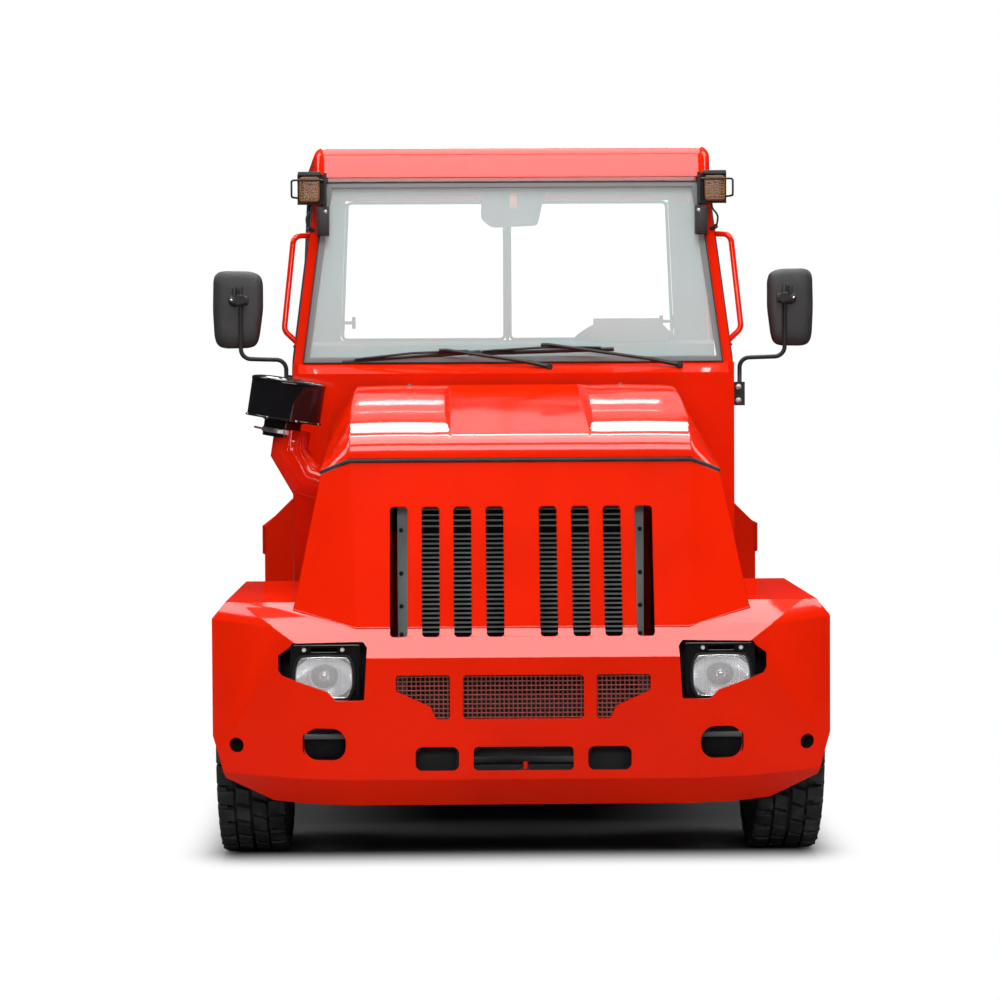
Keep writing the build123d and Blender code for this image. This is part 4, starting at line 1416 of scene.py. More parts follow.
@dataclass
class Skins(SubAssembly):
    """Frame nodes whose curved sheet is shown again with smooth shading."""

    folded: tuple[str, ...] = ("front_bumper", "nose_shell")
    edge: float = 0.0028
    nodes: tuple[str, ...] = ("front_bumper", "nose_shell", "roof", "air_elbow", "mirror_arms", "grab_handles",
                              "fuel_tank", "battery_box", "exhaust", "rear_axle", "steering_column",
                              "rim_front_left", "rim_front_right", "rim_rear_left", "rim_rear_right")

    def build(self) -> None:
        """Copy each node, merge its loose triangles and smooth the copy."""
        bodies = {node: body for body, nodes in self.dresser.frame["record"]["behaviour"]["bodies"].items()
                  for node in nodes}
        for name in self.nodes:
            node = self.dresser.frame["nodes"][name]
            twin = bpy.data.objects.new(name + "_skin", node.data.copy())
            piece = Clay.around(twin)
            with piece.editing("VERT"):
                bpy.ops.mesh.select_all(action="SELECT")
                bpy.ops.mesh.remove_doubles(threshold=2e-5)
                if name in self.folded:
                    bpy.ops.mesh.dissolve_limited(angle_limit=math.radians(0.6))
            if name in self.folded:
                piece.bevel(self.edge, 1, 50.0)
            if name == "roof":
                for vert in twin.data.vertices:
                    if vert.co.z > 1.93 and vert.co.y < -0.2:
                        vert.co.y += (vert.co.z - 1.925) * 0.275
            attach(piece.smooth(24).object, bodies[name])
            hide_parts(name)
            LOG.info("%s: %d faces", twin.name, len(twin.data.polygons))


@dataclass
class HoodSkin(SubAssembly):
    """The hood's sheet: nose band, raised shoulders, sunk centre and folded flanks."""

    fold: float = 0.461
    flank: float = 0.534
    channel: float = 0.186
    sheet: float = 0.005

    def build(self) -> None:
        """Shape a grid into the hood, thicken it and add the hinge straps."""
        rows = self._rows()
        across, along = len(rows[0]) - 1, len(rows) - 1
        deselect()
        bpy.ops.mesh.primitive_grid_add(x_subdivisions=across, y_subdivisions=along, size=1.0)
        skin = Clay("hood_sheet")
        for vert, point in zip(skin.object.data.vertices, (point for row in rows for point in row)):
            vert.co = point
        skin.settle().modify("SOLIDIFY", thickness=self.sheet, offset=-1.0, use_even_offset=False)
        strap = Clay.block("strap", (0.252, -0.520, 1.281), (0.318, -0.455, 1.287)).bevel(0.001, 1)
        riser = Clay.block("riser", (0.252, -0.520, 1.281), (0.318, -0.505, 1.300)).bevel(0.001, 1)
        knuckle = Clay.wire("knuckle", ((0.251, -0.446, 1.284), (0.319, -0.446, 1.284)), 0.009, sides=4)
        hinge = Clay.joined("hinge", [strap, riser, knuckle])
        hinges = Clay.joined("hinge", [hinge, hinge.mirrored()])
        self.place(Clay.joined("hood_sheet", [skin, hinges]).smooth(32), RED, "hood", replaces=("hood",))

    @staticmethod
    def _arc(first: Flat, middle: Flat, last: Flat, count: int) -> list[Flat]:
        """Return points on the circle through three (y, z) points.

        Args:
            first: The start.
            middle: A point between.
            last: The end.
            count: Number of steps.
        """
        (ax, ay), (bx, by), (cx, cy) = first, middle, last
        turn = 2.0 * (ax * (by - cy) + bx * (cy - ay) + cx * (ay - by))
        a2, b2, c2 = ax * ax + ay * ay, bx * bx + by * by, cx * cx + cy * cy
        ux = (a2 * (by - cy) + b2 * (cy - ay) + c2 * (ay - by)) / turn
        uy = (a2 * (cx - bx) + b2 * (ax - cx) + c2 * (bx - ax)) / turn
        start, end = math.atan2(ay - uy, ax - ux), math.atan2(cy - uy, cx - ux)
        radius = math.hypot(ax - ux, ay - uy)
        return [(ux + radius * math.cos(start + (end - start) * i / count),
                 uy + radius * math.sin(start + (end - start) * i / count)) for i in range(count + 1)]

    def _rows(self) -> list[list[Point]]:
        """Return the grid's points, one row per cross-section from front to rear."""
        nose = self._arc((-1.3325, 1.114), (-1.316, 1.153), (-1.268, 1.180), 10)
        crown = self._arc((-1.268, 1.180), (-0.880, 1.272), (-0.452, 1.305), 30)
        rows = []
        for i, (y, z) in enumerate(nose[:-1] + crown):
            up = min(i / (len(nose) - 1), 1.0)
            back = max((y + 1.268) / 0.816, 0.0)
            half = self._centre(y, z) + self._shoulder(y, z, up)
            end = Vector((self.flank - 0.002 * (1 - up), -1.300 + 0.032 * up, 1.0815 + 0.004 * up))
            if back:
                end = Vector((self.flank, y, 1.0855 + 0.0975 * back))
            edge = Vector(half[-1])
            half += [tuple(edge.lerp(end, t)) for t in (0.12, 0.5, 0.88, 1.0)]
            half += [(end.x + 0.001, end.y, end.z - t * (end.z - 1.0805)) for t in (0.12, 1.0)]
            rows.append([(-px, py, pz) for px, py, pz in reversed(half[1:])] + half)
        return rows

    def _centre(self, y: float, z: float) -> list[Point]:
        """Return the sunk channel's half section and its wall.

        Args:
            y: The section's place.
            z: The crown's height there.
        """
        floor = 1.178 + 0.1553 * (y + 1.270)
        depth = max(z - floor, 0.0) if y > -1.268 else 0.0
        points = [(x, y, z - depth) for x in (0.0, 0.05, 0.10, 0.145, 0.172, 0.182)]
        deep = depth + self._rise(y)
        points += [(self.channel + 0.533 * deep * t, y, z - depth + deep * t) for t in (0.06, 0.5, 0.94)]
        return points + [(self.channel + 0.533 * deep + 0.006, y, z + self._rise(y))]

    def _shoulder(self, y: float, z: float, up: float) -> list[Point]:
        """Return the raised part's half section out to the fold.

        Args:
            y: The section's place.
            z: The crown's height there.
            up: 0 at the front edge, 1 above the nose.
        """
        points = []
        for x in (0.235, 0.27, 0.31, 0.35, 0.39, 0.42, 0.440, 0.450, 0.456):
            crown = 0.003 * up * ((x - 0.32) / 0.136) ** 2
            points.append((x - 0.007 * (1 - up), y, z + self._rise(y) - crown))
        edge = self.fold - 0.007 * (1 - up)
        z += self._rise(y) * 0.8
        return points + [(edge - 0.002, y, z - 0.0042 * up), (edge, y, z - 0.0062 * up)]

    @staticmethod
    def _rise(y: float) -> float:
        """Return how far the shoulders' rounded front stands above the crown."""
        t = min(max((y + 1.268) / 0.30, 0.0), 1.0)
        return 0.072 * t * (1.0 - t) ** 2


@dataclass
class Windscreen(SubAssembly):
    """Rubber border, wipers and what sits at the edge of the front glass."""

    foot: Point = (0.624, -0.3525, 1.372)
    head: Point = (0.555, -0.2855, 1.911)
    border: float = 0.017
    # name, spindle, elbow, and the blade's two ends
    wipers: tuple[tuple[str, Point, Point, Point, Point], ...] = (
        ("wiper_right", (0.106, -0.384, 1.358), (-0.200, -0.372, 1.409), (-0.508, -0.364, 1.379),
         (-0.097, -0.364, 1.409)),
        ("wiper_left", (0.493, -0.384, 1.362), (0.103, -0.372, 1.424), (-0.132, -0.364, 1.403),
         (0.300, -0.364, 1.415)))

    def build(self) -> None:
        """Model the border strip and both wipers."""
        (x0, y0, z0), (x1, y1, z1) = self.foot, self.head
        tall, rim = math.hypot(y1 - y0, z1 - z0), self.border
        outer = [(-x0, 0.0), (x0, 0.0), (x1, tall), (-x1, tall)]
        low, high = x0 - rim * 1.05, x1 - rim
        inner = [(-low, rim), (low, rim), (high, tall - rim), (-high, tall - rim)]
        strip = Clay.plate("windscreen_rubber", outer, 0.009, 0.002, 0.0, (inner,)).smooth()
        lean = Matrix.Rotation(math.pi / 2 - math.atan2(y1 - y0, z1 - z0), 3, "X")
        self.place(strip.move((0.0, y0 - 0.004, z0), lean), GLASS_EDGE)
        bead = Clay.wire("windscreen_bead", [(px, py, 0.0) for px, py in outer], 0.0030, closed=True)
        self.place(bead.smooth(60).move((0.0, y0 - 0.0085, z0), lean), RUBBER)
        for name, *points in self.wipers:
            self._wiper(name, *(Vector(point) for point in points))

    def _wiper(self, name: str, pivot: Vector, elbow: Vector, first: Vector, last: Vector) -> None:
        """Model one wiper: spindle, cap, arm, bridges and rubber blade.

        Args:
            name: The wiper's name.
            pivot: Its spindle.
            elbow: Where the arm meets the blade's carrier.
            first: The blade's first end.
            last: The blade's other end.
        """
        reach, along = (last - first).length, (last - first).normalized()
        middle = (first + last) / 2
        knee = pivot.lerp(elbow, 0.22) + Vector((0, -0.006, 0.004))
        deep = [pivot + Vector((0, dy, 0)) for dy in (0.022, -0.012, -0.010, -0.020, -0.008)]
        # points, radius and section of the spindle, its cap and the arm's two lengths
        rods = (((deep[0], deep[1]), 0.011, 3), ((deep[2], deep[3]), 0.0075, 3), ((deep[4], knee), 0.0075, 1),
                ((knee, elbow + Vector((0, -0.004, 0)), elbow + along * -0.02), 0.0056, 1))
        parts = [Clay.wire(name, points, radius, sides=sides) for points, radius, sides in rods]
        up = Vector((0.0, -0.008, 0.006))
        # centre and half length along the blade, rise, its slope, and radius of each bridge
        bridges = ((0.0, 0.30, 1.0, 2.2, 0.0042), (-0.30, 0.11, 0.50, 4.0, 0.0036),
                   (0.30, 0.11, 0.50, 4.0, 0.0036))
        for centre, half, rise, slope, radius in bridges:
            inner = 0.15 if half > 0.2 else 0.05
            parts.append(Clay.wire(name, [middle + along * (reach * (centre + t)) + up * (rise - abs(t) * slope)
                                          for t in (-half, -inner, 0.0, inner, half)], radius, sides=1))
        self.place(Clay.joined(name + "_arm", parts).smooth(50), CHASSIS, replaces=("wipers",))
        drop = Vector((0.0, 0.004, -0.004))
        blade = [Clay.wire(name, (first + drop * k, last + drop * k), radius, sides=1)
                 for k, radius in ((1.0, 0.0050), (2.4, 0.0022))]
        self.place(Clay.joined(name + "_blade", blade).smooth(50), RUBBER)


@dataclass
class Mirrors(SubAssembly):
    """Outer mirror heads with their ball joints, and the inside mirror."""

    outline: tuple[Flat, ...] = (
        (-0.050, 0.112), (-0.030, 0.115), (0.038, 0.116), (0.056, 0.112), (0.067, 0.102), (0.071, 0.086),
        (0.073, 0.0), (0.069, -0.078), (0.064, -0.098), (0.054, -0.110), (0.036, -0.115), (-0.030, -0.114),
        (-0.048, -0.109), (-0.058, -0.098), (-0.064, -0.078), (-0.075, 0.0), (-0.075, 0.080), (-0.068, 0.102))
    inside: tuple[Flat, ...] = ((-0.092, 0.058), (0.092, 0.058), (0.096, 0.030), (0.076, -0.058),
                                (-0.064, -0.064), (-0.097, -0.036))
    inside_at: Point = (0.004, -0.150, 1.845)
    joint_x: float = 0.828
    joint_rise: float = 0.028

    def build(self) -> None:
        """Model each head, its glass and its joint, then the inside mirror."""
        low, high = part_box("mirror_heads")
        for side in Side:
            self._head(side, high.x - 0.069 if side is Side.LEFT else low.x + 0.079, (low.z + high.z) / 2)
        x, y, z = self.inside_at
        shell = Clay.plate("cab_mirror_shell", self.inside, 0.018, 0.006, 0.014).smooth()
        self.place(shell.move((x, y, z), UPRIGHT), MIRROR_SHELL, replaces=("cab_mirror",))
        pane = [(px * 0.92, pz * 0.9) for px, pz in self.inside]
        glass = Clay.plate("cab_mirror_glass", pane, 0.003, 0.0008, 0.012)
        self.place(glass.smooth().move((x, y + 0.0105, z), UPRIGHT), CHROME)
        strip = [(-0.012, -0.020), (0.012, -0.020), (0.012, 0.058), (-0.012, 0.058)]
        bracket = Clay.plate("cab_mirror_bracket", strip, 0.004, 0.0008, 0.004).smooth()
        bracket.move((0.006, -0.163, 1.860), UPRIGHT)
        foot = Clay.block("foot", (-0.006, -0.262, 1.9085), (0.018, -0.161, 1.9125)).bevel(0.0008, 1)
        bolt = screw("bolt", 0.004, 0.004).move((0.006, -0.165, 1.848), FORWARD)
        self.place(Clay.joined("cab_mirror_bracket", [bracket, foot, bolt]), RED)

    def _head(self, side: Side, x: float, z: float) -> None:
        """Model one outer mirror.

        Args:
            side: The side it is on.
            x: The head's middle.
            z: The head's middle height.
        """
        flip, left = side.value, side is Side.LEFT
        outline = [(px * (0.91 if left else 1.0) * flip, pz) for px, pz in self.outline]
        shell = Clay.plate("mirror_shell", outline, 0.034, 0.0, 0.018)
        shell.swell(lambda c, n: n.z > 0.9, ((0.004, 0.965), (0.0035, 0.94), (0.003, 0.88), (0.002, 0.75)))
        shell.smooth(40).move((x, -0.312, z), UPRIGHT)
        shell.object.name = "mirror_shell_" + side.word
        self.place(shell, MIRROR_SHELL, replaces=("mirror_heads",) if left else ())
        pane = [(px * 0.93, pz * 0.95) for px, pz in outline]
        glass = Clay.plate("mirror_glass_" + side.word, pane, 0.003, 0.0008, 0.014)
        self.place(glass.smooth().move((x, -0.2945, z), UPRIGHT), CHROME)
        x, z = self.joint_x * flip, z + self.joint_rise
        ball = ((0.0, 0.021), (0.008, 0.021), (0.013, 0.016), (0.020, 0.015), (0.024, 0.010))
        clamp = Clay.block("clamp", (-0.019, -0.010, -0.013), (0.019, 0.010, 0.013)).bevel(0.005, 3)
        joint = [Clay.turned("joint", ball, 28).bevel(0.001, 1).move((x, -0.332, z), FORWARD),
                 clamp.move((x - 0.022 * flip, -0.347, z)),
                 Clay.wire("knob", ((x, -0.350, z + 0.012), (x, -0.350, z + 0.036)), 0.007, sides=3)]
        self.place(Clay.joined("mirror_joint_" + side.word, joint).smooth(), BLACK_PLASTIC)
        heads = screw("mirror_screw", 0.0032, 0.003, 16)
        spots = [(x + dx, -0.3565, z) for dx in (-0.009, 0.009)]
        self.place(heads.spread("mirror_screws_" + side.word, spots, FORWARD), CHROME)


@dataclass
class TurnLamps(SubAssembly):
    """Amber lamps with ribbed lenses, leads and pillar boxes."""

    lens: tuple[Flat, ...] = ((-0.030, -0.038), (0.030, -0.038), (0.032, 0.0), (0.030, 0.038),
                              (-0.030, 0.038), (-0.032, 0.0))
    thick: float = 0.034
    cap_half: float = 0.033

    def build(self) -> None:
        """Model the left lamp and mirror it."""
        low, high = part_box("turn_lamps")
        x, z = high.x - 0.032, (low.z + high.z) / 2
        lens = Clay.plate("turn_lens", self.lens, self.thick, 0.005, 0.010)
        face = self.thick / 2 + 0.0002
        ribs = Clay.wire("rib", ((-0.027, 0.0, face), (0.027, 0.0, face)), 0.0016, sides=1)
        bars = Clay.wire("rib", ((0.0, -0.034, face), (0.0, 0.034, face)), 0.0013, sides=1)
        ribs, bars = ribs.row("ribs", 9, Axis.Y, -0.032, 0.008), bars.row("bars", 7, Axis.X, -0.024, 0.008)
        lens = Clay.joined("turn_lens", [lens, ribs, bars]).smooth(40).move((x, low.y + 0.019, z), UPRIGHT)
        self.pair(lens, AMBER, replaces=("turn_lamps",))
        cap = Clay.block("turn_cap", (x - self.cap_half, low.y + 0.002, high.z + 0.0005),
                         (x + self.cap_half, high.y, high.z + 0.012))
        cap.push(lambda c, n: n.z > 0.9, 0.006, 0.002)
        self.pair(cap.bevel(0.003, 2).smooth(), DASH_PLASTIC)
        route = ((-0.008, -0.322, -0.040), (-0.006, -0.322, -0.060), (0.012, -0.326, -0.080),
                 (0.008, -0.320, -0.112), (-0.010, -0.300, -0.120))
        lead = Clay.wire("turn_lead", [(x + dx, y, z + dz) for dx, y, dz in route], 0.0030, bend=0.014)
        ends = ((x + 0.007, -0.319, z - 0.112), (x - 0.009, -0.302, z - 0.121))
        plug = Clay.wire("plug", ends, 0.007, sides=3)
        self.pair(Clay.joined("turn_lead", [lead, plug]).smooth(50), RUBBER)
        box = Clay.block("pillar_box", (0.546, -0.340, 1.753), (0.583, -0.3335, 1.836))
        box.push(lambda c, n: n.y < -0.9, 0.005, -0.002).bevel(0.002, 2)
        self.pair(box.smooth(), BLACK_PLASTIC)
        self.pair(screw("box_screw", 0.0042, 0.003, 16).move((0.556, -0.342, 1.822), FORWARD), STEEL)


@dataclass
class PreCleaner(SubAssembly):
    """The intake pre-cleaner: gloss canister, lid, base flange, neck and clamp."""

    centre: Point = (-0.656, -0.700, 1.268)
    lean: float = 9.0
    radius: float = 0.1055
    flange: float = 0.0045
    screws: int = 8
    neck_drop: float = 0.093

    def build(self) -> None:
        """Model the canister about its own axis and lean it."""
        turn = about("Y", self.lean)
        r, lip = self.radius, self.radius + self.flange
        shell = ((-0.060, 0.040), (-0.060, r + 0.0035), (-0.0585, lip), (-0.0560, lip), (-0.0545, r + 0.0035),
                 (-0.0540, r), (-0.0520, r), (0.0430, r), (0.0450, r), (0.0452, r + 0.0016),
                 (0.0505, r + 0.0016), (0.0530, r + 0.0004), (0.0560, r - 0.006), (0.0590, r - 0.022),
                 (0.0610, r - 0.050), (0.0620, 0.012))
        tube = ((-0.110, 0.048), (-0.110, 0.0535), (-0.066, 0.0535), (-0.062, 0.060), (-0.060, 0.060))
        stud = screw("stud", 0.007, 0.009).move((0.0, 0.0, 0.061))
        whole = Clay.joined("precleaner_body", [Clay.turned("canister", shell, 96),
                                                Clay.turned("neck", tube, 64), stud]).smooth(28)
        self.place(whole.move(self.centre, turn), GLOSS_BLACK, replaces=("precleaner",))
        angles = [math.tau * (i + 0.5) / self.screws for i in range(self.screws)]
        places = [((lip * math.cos(a), lip * math.sin(a), -0.0573), turn_to((math.cos(a), math.sin(a), 0.0)))
                  for a in angles]
        heads = screw("flange_screw", 0.0026, 0.0022, 14).scatter("flange_screws", places)
        self.place(heads.move(self.centre, turn), STEEL)
        band = ((-0.0065, 0.0570), (0.0065, 0.0570), (0.0065, 0.0530), (-0.0065, 0.0530), (-0.0065, 0.0570))
        clamp = [Clay.turned("clamp", band, 64, ring=True),
                 Clay.block("lug", (-0.010, -0.071, -0.006), (0.010, -0.056, 0.006)).bevel(0.0012, 1),
                 Clay.wire("tail", ((-0.055, -0.012, 0.0), (-0.078, -0.022, 0.002)), 0.0030),
                 screw("clamp_screw", 0.0035, 0.004).move((0.010, -0.0635, 0.0), OUTWARD)]
        drop = turn @ Vector((0.0, 0.0, -self.neck_drop))
        self.place(Clay.joined("intake_clamp", clamp).smooth().move(Vector(self.centre) + drop, turn), STEEL)


@dataclass
class RadiatorFront(SubAssembly):
    """Dark core behind the slats, with the side posts' bolts and the header tank."""

    half: float = 0.2985
    tubes: int = 49
    tube_pitch: float = 0.012
    post: float = 0.320
    bolt_heights: tuple[float, ...] = (0.640, 0.716, 0.804, 0.920)

    def build(self) -> None:
        """Model the core face, its tubes, the bolts and the header tank."""
        low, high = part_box("radiator")
        core = Clay.block("radiator_core", (-self.half, low.y + 0.0125, low.z + 0.022),
                          (self.half, low.y + 0.0165, high.z - 0.002))
        core.push(lambda c, n: n.y < -0.9, 0.006, 0.001)
        tube = Clay.block("tube", (-0.0012, low.y + 0.0105, low.z + 0.03),
                          (0.0012, low.y + 0.0135, high.z - 0.01))
        tubes = tube.row("tubes", self.tubes, Axis.X, -0.288, self.tube_pitch)
        self.place(Clay.joined("radiator_core", [core, tubes]), CORE)
        spots = [(x, low.y, z) for x in (-self.post, self.post) for z in self.bolt_heights]
        self.place(screw("post_bolt", 0.0045, 0.004).spread("post_bolts", spots, FORWARD), CHASSIS)
        tank = Clay.block("header_tank", (-0.300, low.y + 0.010, 1.004), (0.300, high.y - 0.004, 1.046))
        tank.push(lambda c, n: n.z > 0.9, 0.012, -0.004).bevel(0.006, 3)
        filler = ((0.0, 0.022), (0.018, 0.022), (0.019, 0.029), (0.030, 0.029), (0.033, 0.024))
        neck = Clay.turned("neck", filler, 32).bevel(0.0015, 2).move((-0.08, -1.235, 1.044))
        self.place(Clay.joined("header_tank", [tank, neck]).smooth(), CHASSIS)


@dataclass
class EngineBay(SubAssembly):
    """What shows on the engine when the hood is up."""

    fan_at: Point = (0.0, -1.172, 0.760)
    fan_blades: int = 7
    vents: int = 14
    belt: tuple[Flat, ...] = ((-0.056, 0.62), (0.056, 0.62), (0.075, 0.83), (0.190, 0.93), (0.160, 0.96),
                              (-0.075, 0.83))
    hose: tuple[Point, ...] = ((0.120, -1.215, 1.000), (0.120, -1.140, 0.998), (0.070, -1.080, 1.000),
                               (0.060, -1.020, 1.012))
    filter: tuple[Flat, ...] = ((0.0, 0.070), (0.012, 0.086), (0.030, 0.088), (0.200, 0.088), (0.204, 0.092),
                                (0.224, 0.092), (0.236, 0.080), (0.240, 0.030))

    def build(self) -> None:
        """Model the cover, fan, belt, alternator, hose, filter and duct."""
        cover = Clay.block("rocker_cover", (-0.098, -1.050, 1.008), (0.098, -0.670, 1.046))
        cover.push(lambda c, n: n.z > 0.9, 0.018, -0.012).bevel(0.010, 3)
        cap = Clay.turned("oil_cap", ((0.0, 0.026), (0.014, 0.026), (0.022, 0.020), (0.024, 0.008)), 10)
        cap.bevel(0.002, 2).move((0.0, -0.960, 1.056))
        self.place(Clay.joined("rocker_cover", [cover, cap]).smooth(), CHASSIS)
        spots = [(x, y, 1.010) for x in (-0.108, 0.108) for y in (-1.03, -0.94, -0.86, -0.78, -0.69)]
        self.place(screw("cover_bolt", 0.006, 0.008).spread("cover_bolts", spots, UPWARD), STEEL)
        self._fan()
        belt = Clay.wire("fan_belt", [(x, -1.150, z) for x, z in self.belt], 0.006, closed=True, bend=0.03)
        self.place(belt.smooth(60), RUBBER)
        case = ((0.0, 0.050), (0.014, 0.064), (0.085, 0.064), (0.100, 0.050), (0.104, 0.022))
        alternator = Clay.turned("alternator", case, 40).bevel(0.003, 2)
        slot = Clay.block("slot", (0.060, -0.005, 0.030), (0.067, 0.005, 0.072)).bevel(0.002, 1)
        body = Clay.joined("alternator", [alternator, slot.scatter("slots", self._ring(self.vents, "Z"))])
        self.place(body.smooth().move((0.195, -1.130, 0.925), REARWARD), STEEL)
        self.place(Clay.wire("top_hose", self.hose, 0.021, sides=5, bend=0.05).smooth(60), RUBBER)
        clip = Clay.wire("ring", ((0.120, -1.196, 0.999), (0.120, -1.186, 0.999)), 0.0228, sides=5)
        self.place(clip.smooth(50), STEEL)
        canister = Clay.turned("air_filter", self.filter, 48).bevel(0.002, 2).smooth()
        self.place(canister.move((-0.330, -0.640, 0.985), FORWARD), GLOSS_BLACK)
        route = ((-0.520, -0.700, 1.010), (-0.450, -0.700, 1.000), (-0.400, -0.700, 0.990))
        duct = Clay.wire("filter_duct", route, 0.046, sides=6)
        cuff = Clay.turned("cuff", ((-0.002, 0.046), (0.0, 0.050), (0.002, 0.046)), 32)
        cuffs = cuff.spread("cuffs", [(-0.50 + 0.012 * i, -0.700, 1.006) for i in range(7)], OUTWARD)
        self.place(Clay.joined("filter_duct", [duct, cuffs]).smooth(50), RUBBER)

    def _fan(self) -> None:
        """Model the fan and its hub."""
        blade = Clay.block("blade", (0.035, -0.004, -0.030), (0.182, 0.004, 0.030))
        with blade.editing("VERT") as mesh:
            blade.verts(mesh, lambda c: c.x > 0.1)
            bpy.ops.transform.resize(value=(1.0, 1.0, 1.5), center_override=(0.18, 0.0, 0.0))
        blade.move(turn=about("X", 28.0)).bevel(0.002, 1)
        blades = blade.scatter("fan", self._ring(self.fan_blades, "Y", self.fan_at))
        hub = Clay.turned("hub", ((-0.016, 0.044), (0.012, 0.044), (0.018, 0.034)), 32).bevel(0.002, 2)
        self.place(Clay.joined("fan", [blades, hub.move(self.fan_at, FORWARD)]).smooth(), DASH_PLASTIC)

    @staticmethod
    def _ring(count: int, axis: str, centre: Point = (0.0, 0.0, 0.0)) -> Places:
        """Return the places of pieces turned evenly about an axis."""
        return [(centre, about(axis, 360.0 * i / count)) for i in range(count)]


@dataclass
class HoodFittings(SubAssembly):
    """Washer nozzles, ribs, the edge trim under the hood and the nose's weld."""

    half_seal: tuple[Point, ...] = ((0.0, -1.3280, 1.1085), (0.456, -1.3280, 1.1085), (0.531, -1.298, 1.0770),
                                    (0.531, -0.450, 1.0765))
    weld_at: Flat = (-1.4688, 0.6728)
    weld_end: Point = (0.602, -1.4045, 0.7165)
    bars: tuple[Flat, ...] = ((0.0935, 0.133), (0.179, 0.217), (0.263, 0.301), (0.347, 0.437))

    def build(self) -> None:
        """Model what is fixed to the hood and to the edge below it."""
        profile = ((0.0, 0.009), (0.003, 0.009), (0.007, 0.006), (0.009, 0.003))
        nozzle = Clay.turned("nozzle", profile, 20).bevel(0.0006, 1)
        jet = Clay.block("jet", (-0.003, 0.0, 0.003), (0.003, 0.008, 0.007)).bevel(0.001, 1)
        pair = Clay.joined("nozzle", [nozzle, jet])
        pair = pair.spread("washer_nozzles", [(x, -0.500, 1.3005) for x in (-0.306, 0.312)])
        self.place(pair.smooth(), BLACK_PLASTIC, "hood")
        stay = ((-0.44, -1.262, 1.125), (0.44, -1.262, 1.125))
        cross = ((-0.42, -0.760, 1.216), (-0.22, -0.760, 1.222), (0.22, -0.760, 1.222), (0.42, -0.760, 1.216))
        ribs = [Clay.wire("hood_rib", points, 0.008) for points in (stay, cross)]
        self.place(Clay.joined("hood_ribs", ribs).smooth(50), RED, "hood")
        points = [(-x, y, z) for x, y, z in reversed(self.half_seal)] + list(self.half_seal[1:])
        self.place(Clay.wire("hood_bulb_seal", points, 0.0062, sides=3, bend=0.012).smooth(60), RUBBER)
        y, z = self.weld_at
        bars = [(-0.0475, 0.0475)] + [(k * x0, k * x1) for k in (1, -1) for x0, x1 in self.bars]
        runs = [((x0, y, z), (x1, y, z)) for x0, x1 in bars]
        x, y1, z1 = self.weld_end
        runs += [((k * self.bars[-1][1], y, z), (k * x, y1, z1)) for k in (1, -1)]
        welds = [Clay.wire("weld", run, 0.0030) for run in runs]
        self.place(Clay.joined("nose_weld", welds).smooth(60), RED)


